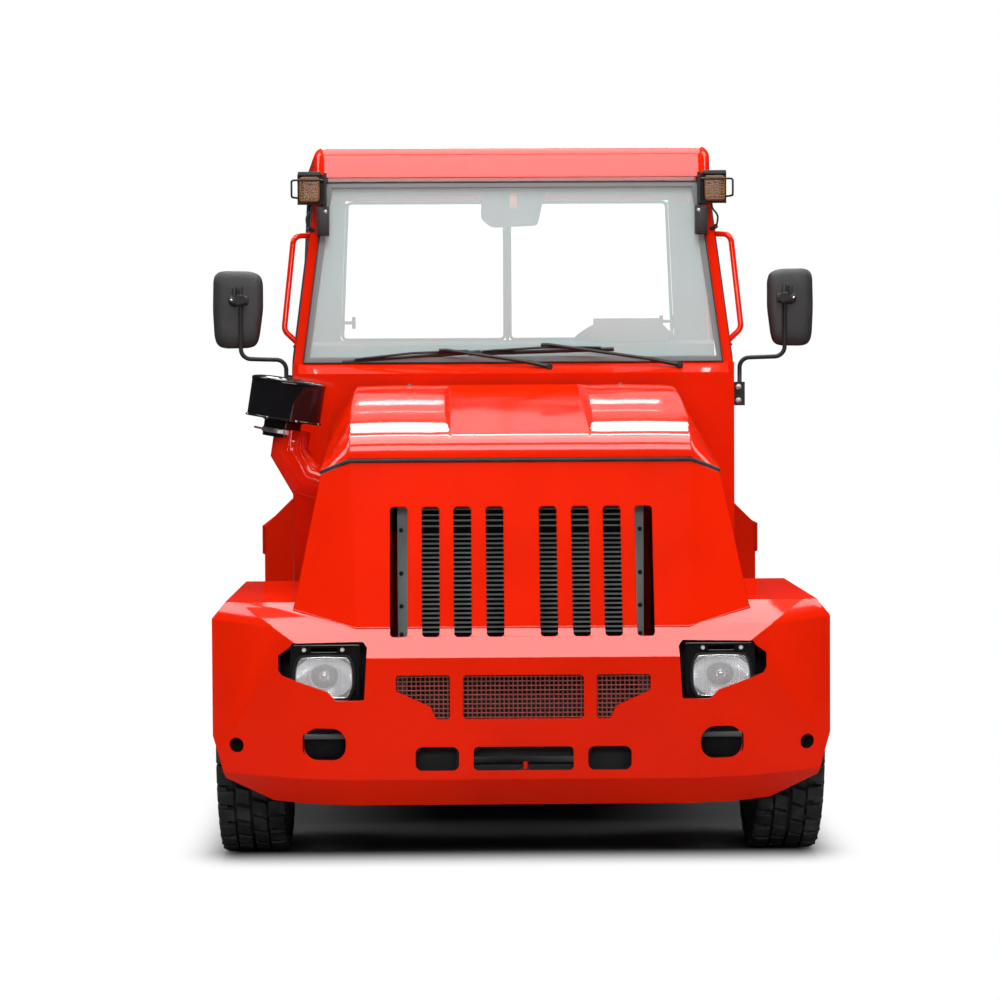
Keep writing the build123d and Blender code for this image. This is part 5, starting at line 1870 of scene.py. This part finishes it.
@dataclass
class Seat(SubAssembly):
    """Two padded seats with piping, channels, brackets and slide rails."""

    centre: float = 0.348
    voxel: float = 0.0075
    pressure: float = 4.0
    cap: float = 0.014
    fill: float = 0.7
    sewn: float = 0.007
    piping: float = 0.0028
    back_at: Flat = (0.550, 1.212)
    back_lean: float = -8.0
    folds: tuple[float, ...] = (0.866, 0.880, 0.894)

    def build(self) -> None:
        """Make the pads once for the left seat and copy them to the right."""
        for piece, node in ((self._cushion(), "seat_cushions"), (self._back(), "seat_backs")):
            name = piece.object.name
            for side in Side:
                twin = piece.copy() if side is Side.LEFT else piece.mirrored()
                twin.object.name = f"{name}_{side.word}"
                self.place(twin, SEAT_COVER, replaces=(node,))
            piece.drop()
        self._frame()

    def _cushion(self) -> Clay:
        """Return the left seat cushion."""
        x = self.centre
        # low corner, high corner and rounding of each foam block
        blocks = [((x - 0.200, 0.166, 0.920), (x + 0.200, 0.548, 0.986), 0.026)]
        for side in (-1, 1):
            low, high = sorted((x + side * 0.152, x + side * 0.208))
            blocks.append(((low, 0.168, 0.918), (high, 0.546, 0.996), 0.024))
        blocks.append(((x - 0.198, 0.164, 0.916), (x + 0.198, 0.226, 0.992), 0.026))
        pad = self._swollen("seat_pad", blocks)
        middle = Vector((x, 0.36, 0.95))
        for vert in pad.object.data.vertices:
            spot = vert.co - middle
            top = max(0.0, min(1.0, (vert.co.z - 0.962) / 0.012))
            sink = self._lines(spot.x, 0.138) * (abs(spot.y) < 0.19)
            sink = max(sink, 0.7 * self._lines(spot.x, 0.046) * (-0.118 < spot.y < 0.19))
            sink = max(sink, self._line(spot.y, -0.126) * (abs(spot.x) < 0.140))
            vert.co.z -= self.sewn * sink * top
            ridge = self._line(vert.co.z - 0.972, 0.0, 0.004)
            side = Vector((spot.x / 0.215, spot.y / 0.200, 0.0))
            if max(abs(side.x), abs(side.y)) > 0.86:
                vert.co += side.normalized() * self.piping * ridge
        return self._finished(pad)

    def _back(self) -> Clay:
        """Return the left seat back."""
        blocks = [((-0.190, -0.026, -0.184), (0.190, 0.028, 0.184), 0.024)]
        for side in (-1, 1):
            low, high = sorted((side * 0.140, side * 0.198))
            blocks.append(((low, -0.032, -0.180), (high, 0.026, 0.150), 0.024))
        pad = self._swollen("back_pad", blocks)
        for vert in pad.object.data.vertices:
            spot = vert.co
            front = max(0.0, min(1.0, (-spot.y - 0.010) / 0.014))
            sink = self._lines(spot.x, 0.128) * (abs(spot.z) < 0.175)
            for level in (0.105, 0.035):
                sink = max(sink, 0.7 * self._lines(spot.z, level) * (abs(spot.x) < 0.130))
            vert.co.y += self.sewn * sink * front
            ridge = self._line(spot.y, -0.012, 0.004)
            side = Vector((spot.x / 0.205, 0.0, spot.z / 0.195))
            if max(abs(side.x), abs(side.z)) > 0.88:
                vert.co += side.normalized() * self.piping * ridge
        return self._finished(pad).move((self.centre, *self.back_at), about("X", self.back_lean))

    @staticmethod
    def _line(value: float, place: float, width: float = 0.0055) -> float:
        """Return 1 on a line and a smooth fall to 0 beside it."""
        return math.exp(-(((value - place) / width) ** 2))

    def _lines(self, value: float, place: float) -> float:
        """Return the nearer of two lines, one on each side of the middle."""
        return max(self._line(value, -place), self._line(value, place))

    def _swollen(self, name: str, blocks: Sequence[tuple[Point, Point, float]]) -> Clay:
        """Merge foam blocks and let pressure fill the cover.

        Args:
            name: The pad's name.
            blocks: Two corners and the rounding of each block.

        Returns:
            The pad.
        """
        pad = Clay.joined(name, [Clay.block(name, low, high).bevel(edge, 4) for low, high, edge in blocks])
        pad.modify("REMESH", mode="VOXEL", voxel_size=self.voxel)
        before = [vert.co.copy() for vert in pad.object.data.vertices]
        pad.activate()
        cloth = pad.object.modifiers.new("cover", "CLOTH")
        cloth.settings.use_pressure = True
        cloth.settings.uniform_pressure_force = self.pressure
        cloth.settings.effector_weights.gravity = 0.0
        scene = bpy.context.scene
        for frame in range(1, 21):
            scene.frame_set(frame)
        bpy.ops.object.modifier_apply(modifier=cloth.name)
        scene.frame_set(1)
        for vert, start in zip(pad.object.data.vertices, before):
            way = vert.co - start
            if way.length > self.cap:
                vert.co = start + way.normalized() * self.cap
        pad.modify("SMOOTH", factor=0.5, iterations=6)
        return pad.modify("SUBSURF", levels=1, render_levels=1)

    @staticmethod
    def _finished(pad: Clay) -> Clay:
        """Shade a pad smooth all over.

        Args:
            pad: The pad.

        Returns:
            The same pad.
        """
        pad.activate()
        bpy.ops.object.shade_smooth()
        return pad

    def _frame(self) -> None:
        """Model the recliner brackets, rails, lever and bellows."""
        x = self.centre
        outline = [(-0.030, -0.010), (0.070, -0.022), (0.110, 0.020), (0.128, 0.180), (0.080, 0.186),
                   (0.052, 0.060), (-0.020, 0.030)]
        plate = Clay.plate("bracket", outline, 0.006, 0.001, 0.012)
        stand = about("Z", 90.0) @ UPRIGHT
        arms = plate.spread("seat_brackets", [(x + dx, 0.470, 0.915) for dx in (-0.226, 0.226)], stand)
        spots = [(x + 0.229, y, z) for y, z in ((0.560, 0.935), (0.572, 1.060))]
        bolts = screw("bolt", 0.008, 0.007).spread("bolts", spots, OUTWARD)
        self.pair(Clay.joined("seat_brackets", [arms, bolts]).smooth(), CHASSIS)
        rail = Clay.block("rail", (-0.018, 0.185, 0.902), (0.018, 0.548, 0.917))
        rail.push(lambda c, n: n.z > 0.9, 0.006, 0.006).bevel(0.0015, 1)
        rails = rail.row("seat_rails", 2, Axis.X, x - 0.150, 0.300)
        route = ((x - 0.150, 0.200, 0.908), (x - 0.150, 0.150, 0.908), (x + 0.060, 0.138, 0.908))
        lever = Clay.wire("lever", route, 0.005, bend=0.02)
        self.pair(Clay.joined("seat_rails", [rails, lever]).smooth(50), STEEL)
        bellows = Clay.block("seat_bellows", (x - 0.176, 0.226, 0.862), (x + 0.176, 0.564, 0.904))
        for level in self.folds:
            with bellows.editing():
                bpy.ops.mesh.select_all(action="SELECT")
                bpy.ops.mesh.bisect(plane_co=(0.0, 0.0, level), plane_no=(0.0, 0.0, 1.0))
        with bellows.editing("VERT") as mesh:
            bellows.verts(mesh, lambda c: min(abs(c.z - z) for z in self.folds) < 0.001)
            bpy.ops.transform.resize(value=(1.035, 1.035, 1.0), center_override=(x, 0.395, 0.88))
        self.pair(bellows.bevel(0.002, 2).smooth(60), RUBBER)


@dataclass
class DriverPlace(SubAssembly):
    """Instruments, switches, stalks, wheel grip, pedals and mat."""

    wheel: Point = (0.348, -0.050, 1.380)
    tilt: float = 40.0
    panel_lean: float = 62.0
    panel: Flat = (-0.1985, 1.392)
    cowl: tuple[Flat, ...] = ((-0.118, 0.0), (0.118, 0.0), (0.118, 0.034), (0.100, 0.056), (0.070, 0.066),
                              (-0.070, 0.066), (-0.100, 0.056), (-0.118, 0.034))
    binnacle: tuple[Flat, ...] = ((-0.150, -0.048), (0.150, -0.048), (0.150, 0.040), (0.120, 0.050),
                                  (-0.120, 0.050), (-0.150, 0.040))
    # name, shift across the binnacle, radius
    gauges: tuple[tuple[str, float, float], ...] = (
        ("gauge_speed", -0.078, 0.036), ("gauge_fuel", 0.006, 0.026), ("gauge_heat", 0.070, 0.026))
    rockers: tuple[float, ...] = (0.150, 0.120, 0.090, 0.060, 0.0, -0.030)
    vents: tuple[float, ...] = (-0.150, -0.340, -0.500)
    pedals: tuple[Flat, ...] = ((0.250, 0.062), (0.345, 0.062), (0.450, 0.048))  # place, width

    def build(self) -> None:
        """Model everything the driver handles."""
        self._dash()
        self._column()
        outline = [(-0.600, -0.392), (0.600, -0.392), (0.606, 0.172), (-0.606, 0.172)]
        mat = Clay.plate("floor_mat", outline, 0.006, 0.0015, 0.03)
        rib = Clay.block("rib", (-0.585, -0.0025, 0.0028), (0.585, 0.0025, 0.0048))
        mat = Clay.joined("floor_mat", [mat, rib.row("ribs", 37, Axis.Y, -0.376, 0.0145)])
        self.place(mat.smooth().move((0.0, 0.0, 0.603)), RUBBER)
        pads = []
        for x, width in self.pedals:
            half, stud = width / 2, width * 0.38
            pad = Clay.block("pad", (x - half, -0.3105, 0.640), (x + half, -0.3055, 0.720))
            pads.append(pad.bevel(0.002, 2))
            stud = Clay.block("stud", (x - stud, -0.306, -0.002), (x + stud, -0.3035, 0.002)).bevel(0.0008, 1)
            pads.append(stud.row("studs", 6, Axis.Z, 0.652, 0.011))
        self.place(Clay.joined("pedal_pads", pads).smooth(), RUBBER)

    def _dash(self) -> None:
        """Model the cowl, gauges, switches and vents of the dashboard."""
        cowl = Clay.plate("gauge_cowl", self.cowl, 0.074, 0.003, 0.012)
        cowl.push(lambda c, n: n.z < -0.9, 0.008, -0.014)
        self.place(cowl.smooth().move((self.wheel[0], -0.286, 1.430), UPRIGHT), DASH_PLASTIC)
        face = about("Z", 180.0) @ about("X", self.panel_lean)
        spot = Vector((self.wheel[0], *self.panel))
        binnacle = Clay.plate("binnacle", self.binnacle, 0.012, 0.003, 0.012).smooth()
        self.place(binnacle.move(spot, face), BLACK_PLASTIC)
        for name, shift, radius in self.gauges:
            self._gauge(name, radius, spot + face @ Vector((shift, 0.0, 0.0055)), face)
        rocker = Clay.block("rocker", (-0.010, -0.017, 0.0), (0.010, 0.017, 0.006))
        with rocker.editing("VERT") as mesh:
            rocker.verts(mesh, lambda c: c.z > 0.003 and c.y > 0)
            bpy.ops.transform.translate(value=(0.0, 0.0, 0.004))
        spots = [(x, *self.panel) for x in self.rockers]
        rockers = rocker.bevel(0.0012, 2).spread("rocker_switches", spots, face).smooth()
        self.place(rockers, BLACK_PLASTIC)
        vent = Clay.plate("vent", rectangle(0.060, 0.026), 0.006, 0.0015, 0.006)
        louvre = Clay.block("louvre", (-0.054, -0.0015, -0.001), (0.054, 0.0055, 0.001))
        louvre.move((0.0, 0.0, 0.004), Matrix.Rotation(0.6, 3, "X"))
        vents = Clay.joined("vent", [vent, louvre.row("louvres", 5, Axis.Y, -0.018, 0.009)])
        vents = vents.spread("dash_vents", [(x, *self.panel) for x in self.vents], face)
        self.place(vents.smooth(), BLACK_PLASTIC)

    def _gauge(self, name: str, radius: float, place: Vector, face: Matrix) -> None:
        """Model one gauge: its ring, dial, marks and needle.

        Args:
            name: The gauge's name.
            radius: The ring's radius.
            place: Its centre.
            face: The turn of the panel.
        """
        rim = ((0.0, radius), (0.005, radius), (0.006, radius * 0.94), (0.003, radius * 0.90))
        ring = Clay.turned(name, rim, 40).bevel(0.0008, 2).smooth()
        self.place(ring.move(place, face), CHROME)
        disc = ((0.0, radius * 0.89), (0.0022, radius * 0.88), (0.0034, radius * 0.60))
        self.place(Clay.turned(name + "_dial", disc, 40).move(place, face), CORE)
        marks = []
        for i in range(11):
            long = radius * (0.82 if i % 2 else 0.86)
            mark = Clay.block("mark", (-0.0006, radius * 0.64, 0.0034), (0.0006, long, 0.0041))
            marks.append(mark.move(turn=about("Z", -120 + 24 * i)))
        needle = Clay.block("needle", (-0.0009, -radius * 0.12, 0.0040), (0.0009, radius * 0.66, 0.0050))
        marks.append(needle.move(turn=about("Z", 96.0)))
        marks.append(Clay.turned("boss", ((0.0036, 0.0036), (0.0062, 0.0034), (0.0066, 0.002)), 20))
        self.place(Clay.joined(name + "_marks", marks).move(place, face), WHITE_MARK)

    def _column(self) -> None:
        """Model the horn button, the wheel's grip line, the shroud and the stalks."""
        lean = math.radians(self.tilt)
        axis, centre = Vector((0.0, math.sin(lean), math.cos(lean))), Vector(self.wheel)
        turn = turn_to(axis)
        button = ((0.0, 0.036), (0.006, 0.036), (0.012, 0.030), (0.014, 0.012))
        boss = Clay.turned("horn_button", button, 36).bevel(0.001, 2).smooth()
        self.place(boss.move(centre + axis * 0.001, turn), BLACK_PLASTIC, "steering_wheel")
        seam = ((-0.003, 0.1865), (0.0, 0.1872), (0.003, 0.1865), (0.0, 0.1858), (-0.003, 0.1865))
        grip = Clay.turned("grip", seam, 96, ring=True).smooth()
        self.place(grip.move(centre, turn), BLACK_PLASTIC, "steering_wheel")
        tube = ((-0.150, 0.034), (-0.140, 0.038), (-0.070, 0.038), (-0.060, 0.034), (-0.058, 0.028))
        shroud = Clay.turned("column_shroud", tube, 32).bevel(0.002, 2).smooth()
        self.place(shroud.move(centre, turn), BLACK_PLASTIC)
        root = centre - axis * 0.092
        for side, name in ((1, "indicator_stalk"), (-1, "shift_stalk")):
            reach = Vector((side * 0.150, -0.012, 0.020))
            stalk = Clay.wire(name, [root + reach * t for t in (0.20, 0.62, 1.0)], 0.0045, sides=3, bend=0.02)
            end = ((0.0, 0.006), (0.004, 0.0085), (0.028, 0.0095), (0.034, 0.006))
            knob = Clay.turned("knob", end, 20).bevel(0.001, 1).move(root + reach * 0.98, turn_to(reach))
            self.place(Clay.joined(name, [stalk, knob]).smooth(50), BLACK_PLASTIC)


@dataclass
class CabTrim(SubAssembly):
    """Grey linings, headliner, cab lamp, door welts and sill plates."""

    lining: tuple[Flat, ...] = ((-0.664, 0.862), (0.664, 0.862), (0.657, 1.432), (0.640, 1.898),
                                (-0.640, 1.898), (-0.657, 1.432))
    window: tuple[Flat, ...] = ((-0.548, 1.449), (0.548, 1.449), (0.529, 1.894), (-0.529, 1.894))
    headliner: tuple[Flat, ...] = ((-0.548, -0.256), (0.548, -0.256), (0.612, 0.624), (-0.612, 0.624))
    welt: tuple[Point, ...] = ((0.655, -0.296, 0.612), (0.655, -0.296, 1.372), (0.590, -0.226, 1.896),
                               (0.650, 0.586, 1.896), (0.672, 0.586, 1.430), (0.688, 0.606, 0.945))

    def build(self) -> None:
        """Model the linings and the seals."""
        lining = Clay.plate("rear_lining", self.lining, 0.005, 0.0012, 0.012, (self.window,)).smooth()
        self.place(lining.move((0.0, 0.5865, 0.0), UPRIGHT), LINING)
        back = Clay.block("rear_panel", (-0.560, 0.589, 0.880), (0.560, 0.6195, 1.426)).bevel(0.004, 2)
        self.place(back.push(lambda c, n: n.y < -0.9, 0.03, 0.004).smooth(), LINING)
        liner = Clay.plate("headliner", self.headliner, 0.012, 0.004, 0.02)
        button = Clay.turned("button", ((-0.004, 0.009), (-0.0055, 0.008), (-0.006, 0.004)), 16)
        spots = [(x, y, -0.003) for x in (-0.38, 0.0, 0.38) for y in (-0.12, 0.18, 0.48)]
        liner = Clay.joined("headliner", [liner, button.spread("buttons", spots)])
        self.place(liner.smooth().move((0.0, 0.0, 1.974)), LINING)
        lamp = Clay.plate("cab_lamp", rectangle(0.055, 0.030), 0.016, 0.004, 0.012)
        self.place(lamp.smooth().move((0.0, 0.10, 1.961)), LENS)
        head = Clay.block("header_lining", (-0.550, -0.262, 1.878), (0.550, -0.236, 1.912)).bevel(0.006, 2)
        self.place(head.smooth(), LINING)
        pillar = ((0.616, -0.312, 1.432), (0.547, -0.244, 1.905))
        rail = ((0.552, -0.232, 1.884), (0.620, 0.588, 1.884))
        for name, ends, radius in (("pillar_lining", pillar, 0.013), ("roof_lining", rail, 0.014)):
            self.pair(Clay.wire(name, ends, radius, sides=3).smooth(60), LINING)
        self.pair(Clay.wire("door_welt", self.welt, 0.0065, bend=0.03).smooth(60), RUBBER)
        sill = Clay.block("sill_plate", (0.605, -0.290, 0.5985), (0.668, 0.176, 0.6045)).bevel(0.0015, 2)
        bead = Clay.block("bead", (0.612, -0.2825, 0.604), (0.662, -0.2785, 0.6062)).bevel(0.0008, 1)
        sill = Clay.joined("sill_plate", [sill, bead.row("beads", 28, Axis.Y, 0.0, 0.016)])
        self.pair(sill.smooth(), STEEL)


@dataclass
class RearGlass(SubAssembly):
    """Two rear panes in rubber, the meeting bar and the latches."""

    pane: tuple[Flat, ...] = ((0.010, 1.446), (0.551, 1.446), (0.531, 1.907), (0.010, 1.907))
    seal: tuple[Flat, ...] = ((0.009, 1.452), (0.544, 1.452), (0.525, 1.902), (0.009, 1.902))
    depth: float = 0.6345

    def build(self) -> None:
        """Model the left pane with its parts and mirror it."""
        spot = (0.0, self.depth, 0.0)
        pane = Clay.plate("rear_pane", self.pane, 0.005, 0.0008, 0.012).smooth()
        self.pair(pane.move(spot, UPRIGHT), CLEAR_GLASS, replaces=("rear_windows",))
        seal = Clay.wire("rear_rubber", [(x, z, 0.0) for x, z in self.seal], 0.0050, closed=True, bend=0.018)
        self.pair(seal.smooth(60).move(spot, UPRIGHT), RUBBER)
        bar = Clay.block("meeting_bar", (-0.0055, 0.622, 1.446), (0.0055, 0.647, 1.907))
        self.place(bar.push(lambda c, n: n.y < -0.9, 0.004, 0.003).bevel(0.0015, 2).smooth(), CHASSIS)
        stem = Clay.wire("latch", ((0.545, 0.612, 1.508), (0.508, 0.612, 1.508)), 0.0055, sides=3)
        grip = Clay.block("latch", (0.500, 0.604, 1.488), (0.512, 0.618, 1.528)).bevel(0.003, 2)
        foot = Clay.block("latch", (0.536, 0.606, 1.486), (0.552, 0.630, 1.530)).bevel(0.002, 2)
        self.pair(Clay.joined("window_latch", [stem, grip, foot]).smooth(), BLACK_PLASTIC)


@dataclass
class RearEnd(SubAssembly):
    """Tail lamps, reflectors, bare number plate, deck plate and hitch bolts."""

    lamp: Point = (0.722, 1.454, 0.650)
    # name, height over the lamp's middle, half height, finish
    lenses: tuple[tuple[str, float, float, LensGlass], ...] = (
        ("tail_red", 0.052, 0.040, RED_LENS), ("tail_amber", -0.016, 0.024, AMBER_BRIGHT),
        ("tail_clear", -0.066, 0.022, LENS_WHITE))
    rib_pitch: float = 0.006
    plate_at: Point = (-0.380, 1.4520, 0.680)
    deck_top: float = 0.9412
    bead_pitch: float = 0.044
    beads: tuple[int, int] = (29, 17)

    def build(self) -> None:
        """Model the fittings of the rear body."""
        self._tail_lamps()
        disc = Clay.turned("reflector", ((0.0, 0.030), (0.005, 0.030), (0.007, 0.027), (0.007, 0.010)), 40)
        self.pair(disc.bevel(0.0006, 1).smooth().move((0.600, 1.4495, 0.500), REARWARD), RED_LENS)
        x, y, z = self.plate_at
        plate = Clay.plate("number_plate", rectangle(0.150, 0.060), 0.003, 0.0008, 0.010)
        plate.push(lambda c, n: n.z > 0.9, 0.006, 0.0006)
        self.place(plate.smooth().move(self.plate_at, BACK_UPRIGHT), WHITE_MARK)
        spots = [(x + dx, y + 0.0015, z) for dx in (-0.135, 0.135)]
        self.place(screw("plate_screw", 0.005, 0.003, 16).spread("plate_screws", spots, REARWARD), STEEL)
        spots = [(x, 1.461, z) for x in (-0.092, 0.092) for z in (0.365, 0.430, 0.480, 0.540)]
        self.place(screw("hitch_bolt", 0.011, 0.012).spread("hitch_bolts", spots, REARWARD), STEEL)
        self._deck()

    def _tail_lamps(self) -> None:
        """Model the left tail lamp and mirror it."""
        x, y, z = self.lamp
        base = Clay.plate("tail_base", rectangle(0.045, 0.095), 0.008, 0.002, 0.010).smooth()
        self.pair(base.move(self.lamp, BACK_UPRIGHT), BLACK_PLASTIC, replaces=("tail_lamps",))
        for name, height, half, finish in self.lenses:
            lens = Clay.plate(name, rectangle(0.039, half), 0.012, 0.0035, 0.008)
            rib = Clay.wire("rib", ((-0.035, 0.0, 0.006), (0.035, 0.0, 0.006)), 0.0011, sides=1)
            count = int(half * 2 / self.rib_pitch) - 1
            ribs = rib.row("ribs", count, Axis.Y, -half + 0.007, self.rib_pitch)
            lens = Clay.joined(name, [lens, ribs]).smooth(50)
            self.pair(lens.move((x, y + 0.0095, z + height), BACK_UPRIGHT), finish)

    def _deck(self) -> None:
        """Model the deck plate with its raised beads, and its bolts."""
        skin = Clay.block("deck_plate", (-0.640, 0.672, 0.9375), (0.640, 1.425, 0.9415)).bevel(0.001, 1)
        bead = Clay.block("bead", (-0.013, -0.003, 0.0), (0.013, 0.003, 0.0016))
        with bead.editing() as mesh:
            bead.faces(mesh, lambda c, n: n.z > 0.9)
            bpy.ops.transform.resize(value=(0.55, 0.5, 1.0), center_override=(0.0, 0.0, 0.0016))
        top, pitch, (across, along) = self.deck_top, self.bead_pitch, self.beads
        turns = (about("Z", -45.0), about("Z", 45.0))
        places = [((-0.616 + pitch * i, 0.696 + pitch * j, top), turns[(i + j) % 2])
                  for i in range(across) for j in range(along)]
        self.place(Clay.joined("deck_plate", [skin, bead.scatter("beads", places)]).smooth(), RED)
        spots = [(x, y, top) for x in (-0.625, 0.0, 0.625) for y in (0.684, 1.413)]
        self.place(screw("deck_bolt", 0.007, 0.004, 20).spread("deck_bolts", spots, UPWARD), STEEL)


@dataclass
class Underside(SubAssembly):
    """Step treads, tank fittings, spring clips, splash shields and brake drums."""

    treads: int = 34
    tread_pitch: float = 0.020
    cap_at: Point = (0.520, -0.3055, 0.593)
    cap_faces: Point = (0.50, -0.14, 0.85)
    axles: tuple[tuple[str, float], ...] = (("front", -0.880), ("rear", 0.870))
    springs: Flat = (0.303, 0.367)
    shield_x: Flat = (0.398, 0.402)
    drum: tuple[Flat, ...] = ((-0.020, 0.118), (-0.016, 0.126), (0.028, 0.126), (0.032, 0.121), (0.034, 0.060))
    drum_at: Flat = (0.870, 0.352)

    def build(self) -> None:
        """Model the fittings below the body."""
        rib = Clay.block("tread_rib", (0.580, -0.003, 0.419), (0.772, 0.003, 0.4235)).bevel(0.001, 1)
        ribs = rib.row("step_tread", self.treads, Axis.Y, -0.395, self.tread_pitch)
        edge = Clay.wire("edge", ((0.776, -0.410, 0.4205), (0.776, 0.296, 0.4205)), 0.0055, sides=3)
        self.pair(Clay.joined("step_tread", [ribs, edge]).smooth(50), RUBBER)
        lid = ((-0.006, 0.034), (0.008, 0.034), (0.018, 0.033), (0.021, 0.026))
        cap = Clay.turned("tank_cap", lid, 32).bevel(0.0015, 2)
        bar = Clay.block("bar", (-0.028, -0.006, 0.018), (0.028, 0.006, 0.028)).bevel(0.003, 2)
        cap = Clay.joined("tank_cap", [cap, bar]).smooth()
        self.place(cap.move(self.cap_at, turn_to(self.cap_faces)), BLACK_PLASTIC)
        for name, side in (("tank_buckles", 1), ("box_buckles", -1)):
            buckle = Clay.block("buckle", (-0.004, -0.014, -0.030), (0.004, 0.014, 0.030)).bevel(0.0025, 2)
            buckles = buckle.spread(name, [(side * 0.551, y, 0.450) for y in (-0.240, 0.120)])
            self.place(buckles.smooth(), STEEL)
        inner, outer = self.springs
        for axle, y0 in self.axles:
            routes = [[(x, y, z) for x, z in ((inner, 0.350), (inner, 0.434), (outer, 0.434), (outer, 0.350))]
                      for y in (y0 - 0.042, y0 + 0.042)]
            clips = [Clay.wire("clip", route, 0.0055, bend=0.012) for route in routes]
            self.pair(Clay.joined(f"spring_clips_{axle}", clips).smooth(50), STEEL)
        self._shields()
        for side in Side:
            low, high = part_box(f"rim_rear_{side.word}")
            piece = Clay.turned("brake_drum_" + side.word, self.drum, 48).bevel(0.001, 1).smooth()
            x = (low.x + high.x) / 2 - side.value * 0.030
            piece.move((x, *self.drum_at), turn_to((side.value, 0.0, 0.0)))
            self.place(piece, CHASSIS, "wheel_rear_" + side.word)

    def _shields(self) -> None:
        """Model the splash shields with their baffles, and the bumper's liners."""
        inner, outer = self.shield_x
        shield = Clay.block("splash_shield", (inner, -1.200, 0.570), (outer, -0.500, 0.955)).bevel(0.001, 1)
        route = [(outer + 0.001, y, z) for y, z in ((-1.16, 0.66), (-1.16, 0.90), (-0.54, 0.90), (-0.54, 0.66))]
        swage = Clay.wire("swage", route, 0.004, closed=True, bend=0.03)
        baffle = Clay.block("baffle", (inner, -1.366, 0.662), (outer, -1.196, 0.955))
        for vert in baffle.object.data.vertices:
            if vert.co.y < -1.3 and vert.co.z < 0.7:
                vert.co.y = -1.446
        baffle.bevel(0.001, 1)
        self.pair(Clay.joined("splash_shield", [shield, swage, baffle]).smooth(50), CHASSIS)
        liner = Clay.block("bumper_liner", (outer, -1.402, 0.300), (0.800, -1.398, 0.720))
        for vert in liner.object.data.vertices:
            if vert.co.x > 0.6:
                vert.co.y += 0.080
                vert.co.z = min(vert.co.z, 0.655)
        self.pair(liner.bevel(0.001, 1).smooth(50), CHASSIS)


@dataclass
class BodyFasteners(SubAssembly):
    """Bolts of the mirror brackets and feet of the grab handles."""

    bolt_heights: Flat = (1.255, 1.295)
    # place and direction of each handle's feet
    feet: tuple[tuple[Point, Point], ...] = (((0.600, -0.287, 1.754), (56, -33, -2)),
                                             ((0.642, -0.327, 1.430), (42, -5, 40)))

    def build(self) -> None:
        """Model and spread the bolts and the feet."""
        spots = [(0.671, -0.362, z) for z in self.bolt_heights]
        self.pair(screw("bracket_bolt", 0.0065, 0.006).spread("bracket_bolts", spots, FORWARD), STEEL)
        foot = Clay.turned("foot", ((0.0, 0.017), (0.004, 0.017), (0.006, 0.013)), 28).bevel(0.0006, 1)
        feet = foot.scatter("handle_feet", [(spot, turn_to(way)) for spot, way in self.feet])
        self.pair(feet.smooth(), RED)


BY_SLOT = {
    "red_paint": RED, "chassis_black": CHASSIS, "black_plastic": BLACK_PLASTIC, "mesh_black": CHASSIS,
    "radiator_grey": RADIATOR, "engine_grey": ENGINE, "exhaust_grey": EXHAUST,
    "seal_rubber": RUBBER, "cab_glass": GLASS, "dash_plastic": DASH_PLASTIC,
    "wheel_plastic": DASH_PLASTIC, "seat_cover": SEAT_COVER, "lamp_glass": LENS, "amber_lens": AMBER,
    "red_lens": RED_LENS, "tyre_rubber": TYRE, "rim_paint": RED, "pin_red": RED,
    "mirror_black": MIRROR_SHELL,
}
ASSEMBLIES = (Skins, HoodSkin, Tyres, BumperScreens, Headlamps, FogLamps, Windscreen, Mirrors,
              TurnLamps, PreCleaner, RadiatorFront, EngineBay, HoodFittings, Seat, DriverPlace,
              CabTrim, RearGlass, RearEnd, Underside, BodyFasteners)


def main() -> None:
    """Build the scene in order."""
    logging.basicConfig(level=logging.INFO, format="%(name)s: %(message)s")
    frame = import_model()
    bpy.ops.object.select_all(action="DESELECT")
    dresser = Dresser(frame)
    slots = {row["node"]: row["material_slot"] for row in frame["record"]["subparts"]}
    for name, node in frame["nodes"].items():
        dresser.dress(node, CLEAR_GLASS if name == "rear_windows" else BY_SLOT[slots[name]])
    Studio().build()
    bpy.ops.object.select_all(action="DESELECT")
    for assembly in ASSEMBLIES:
        LOG.info("building %s", assembly.__name__)
        assembly(dresser).build()


if __name__ == "__main__":
    main()
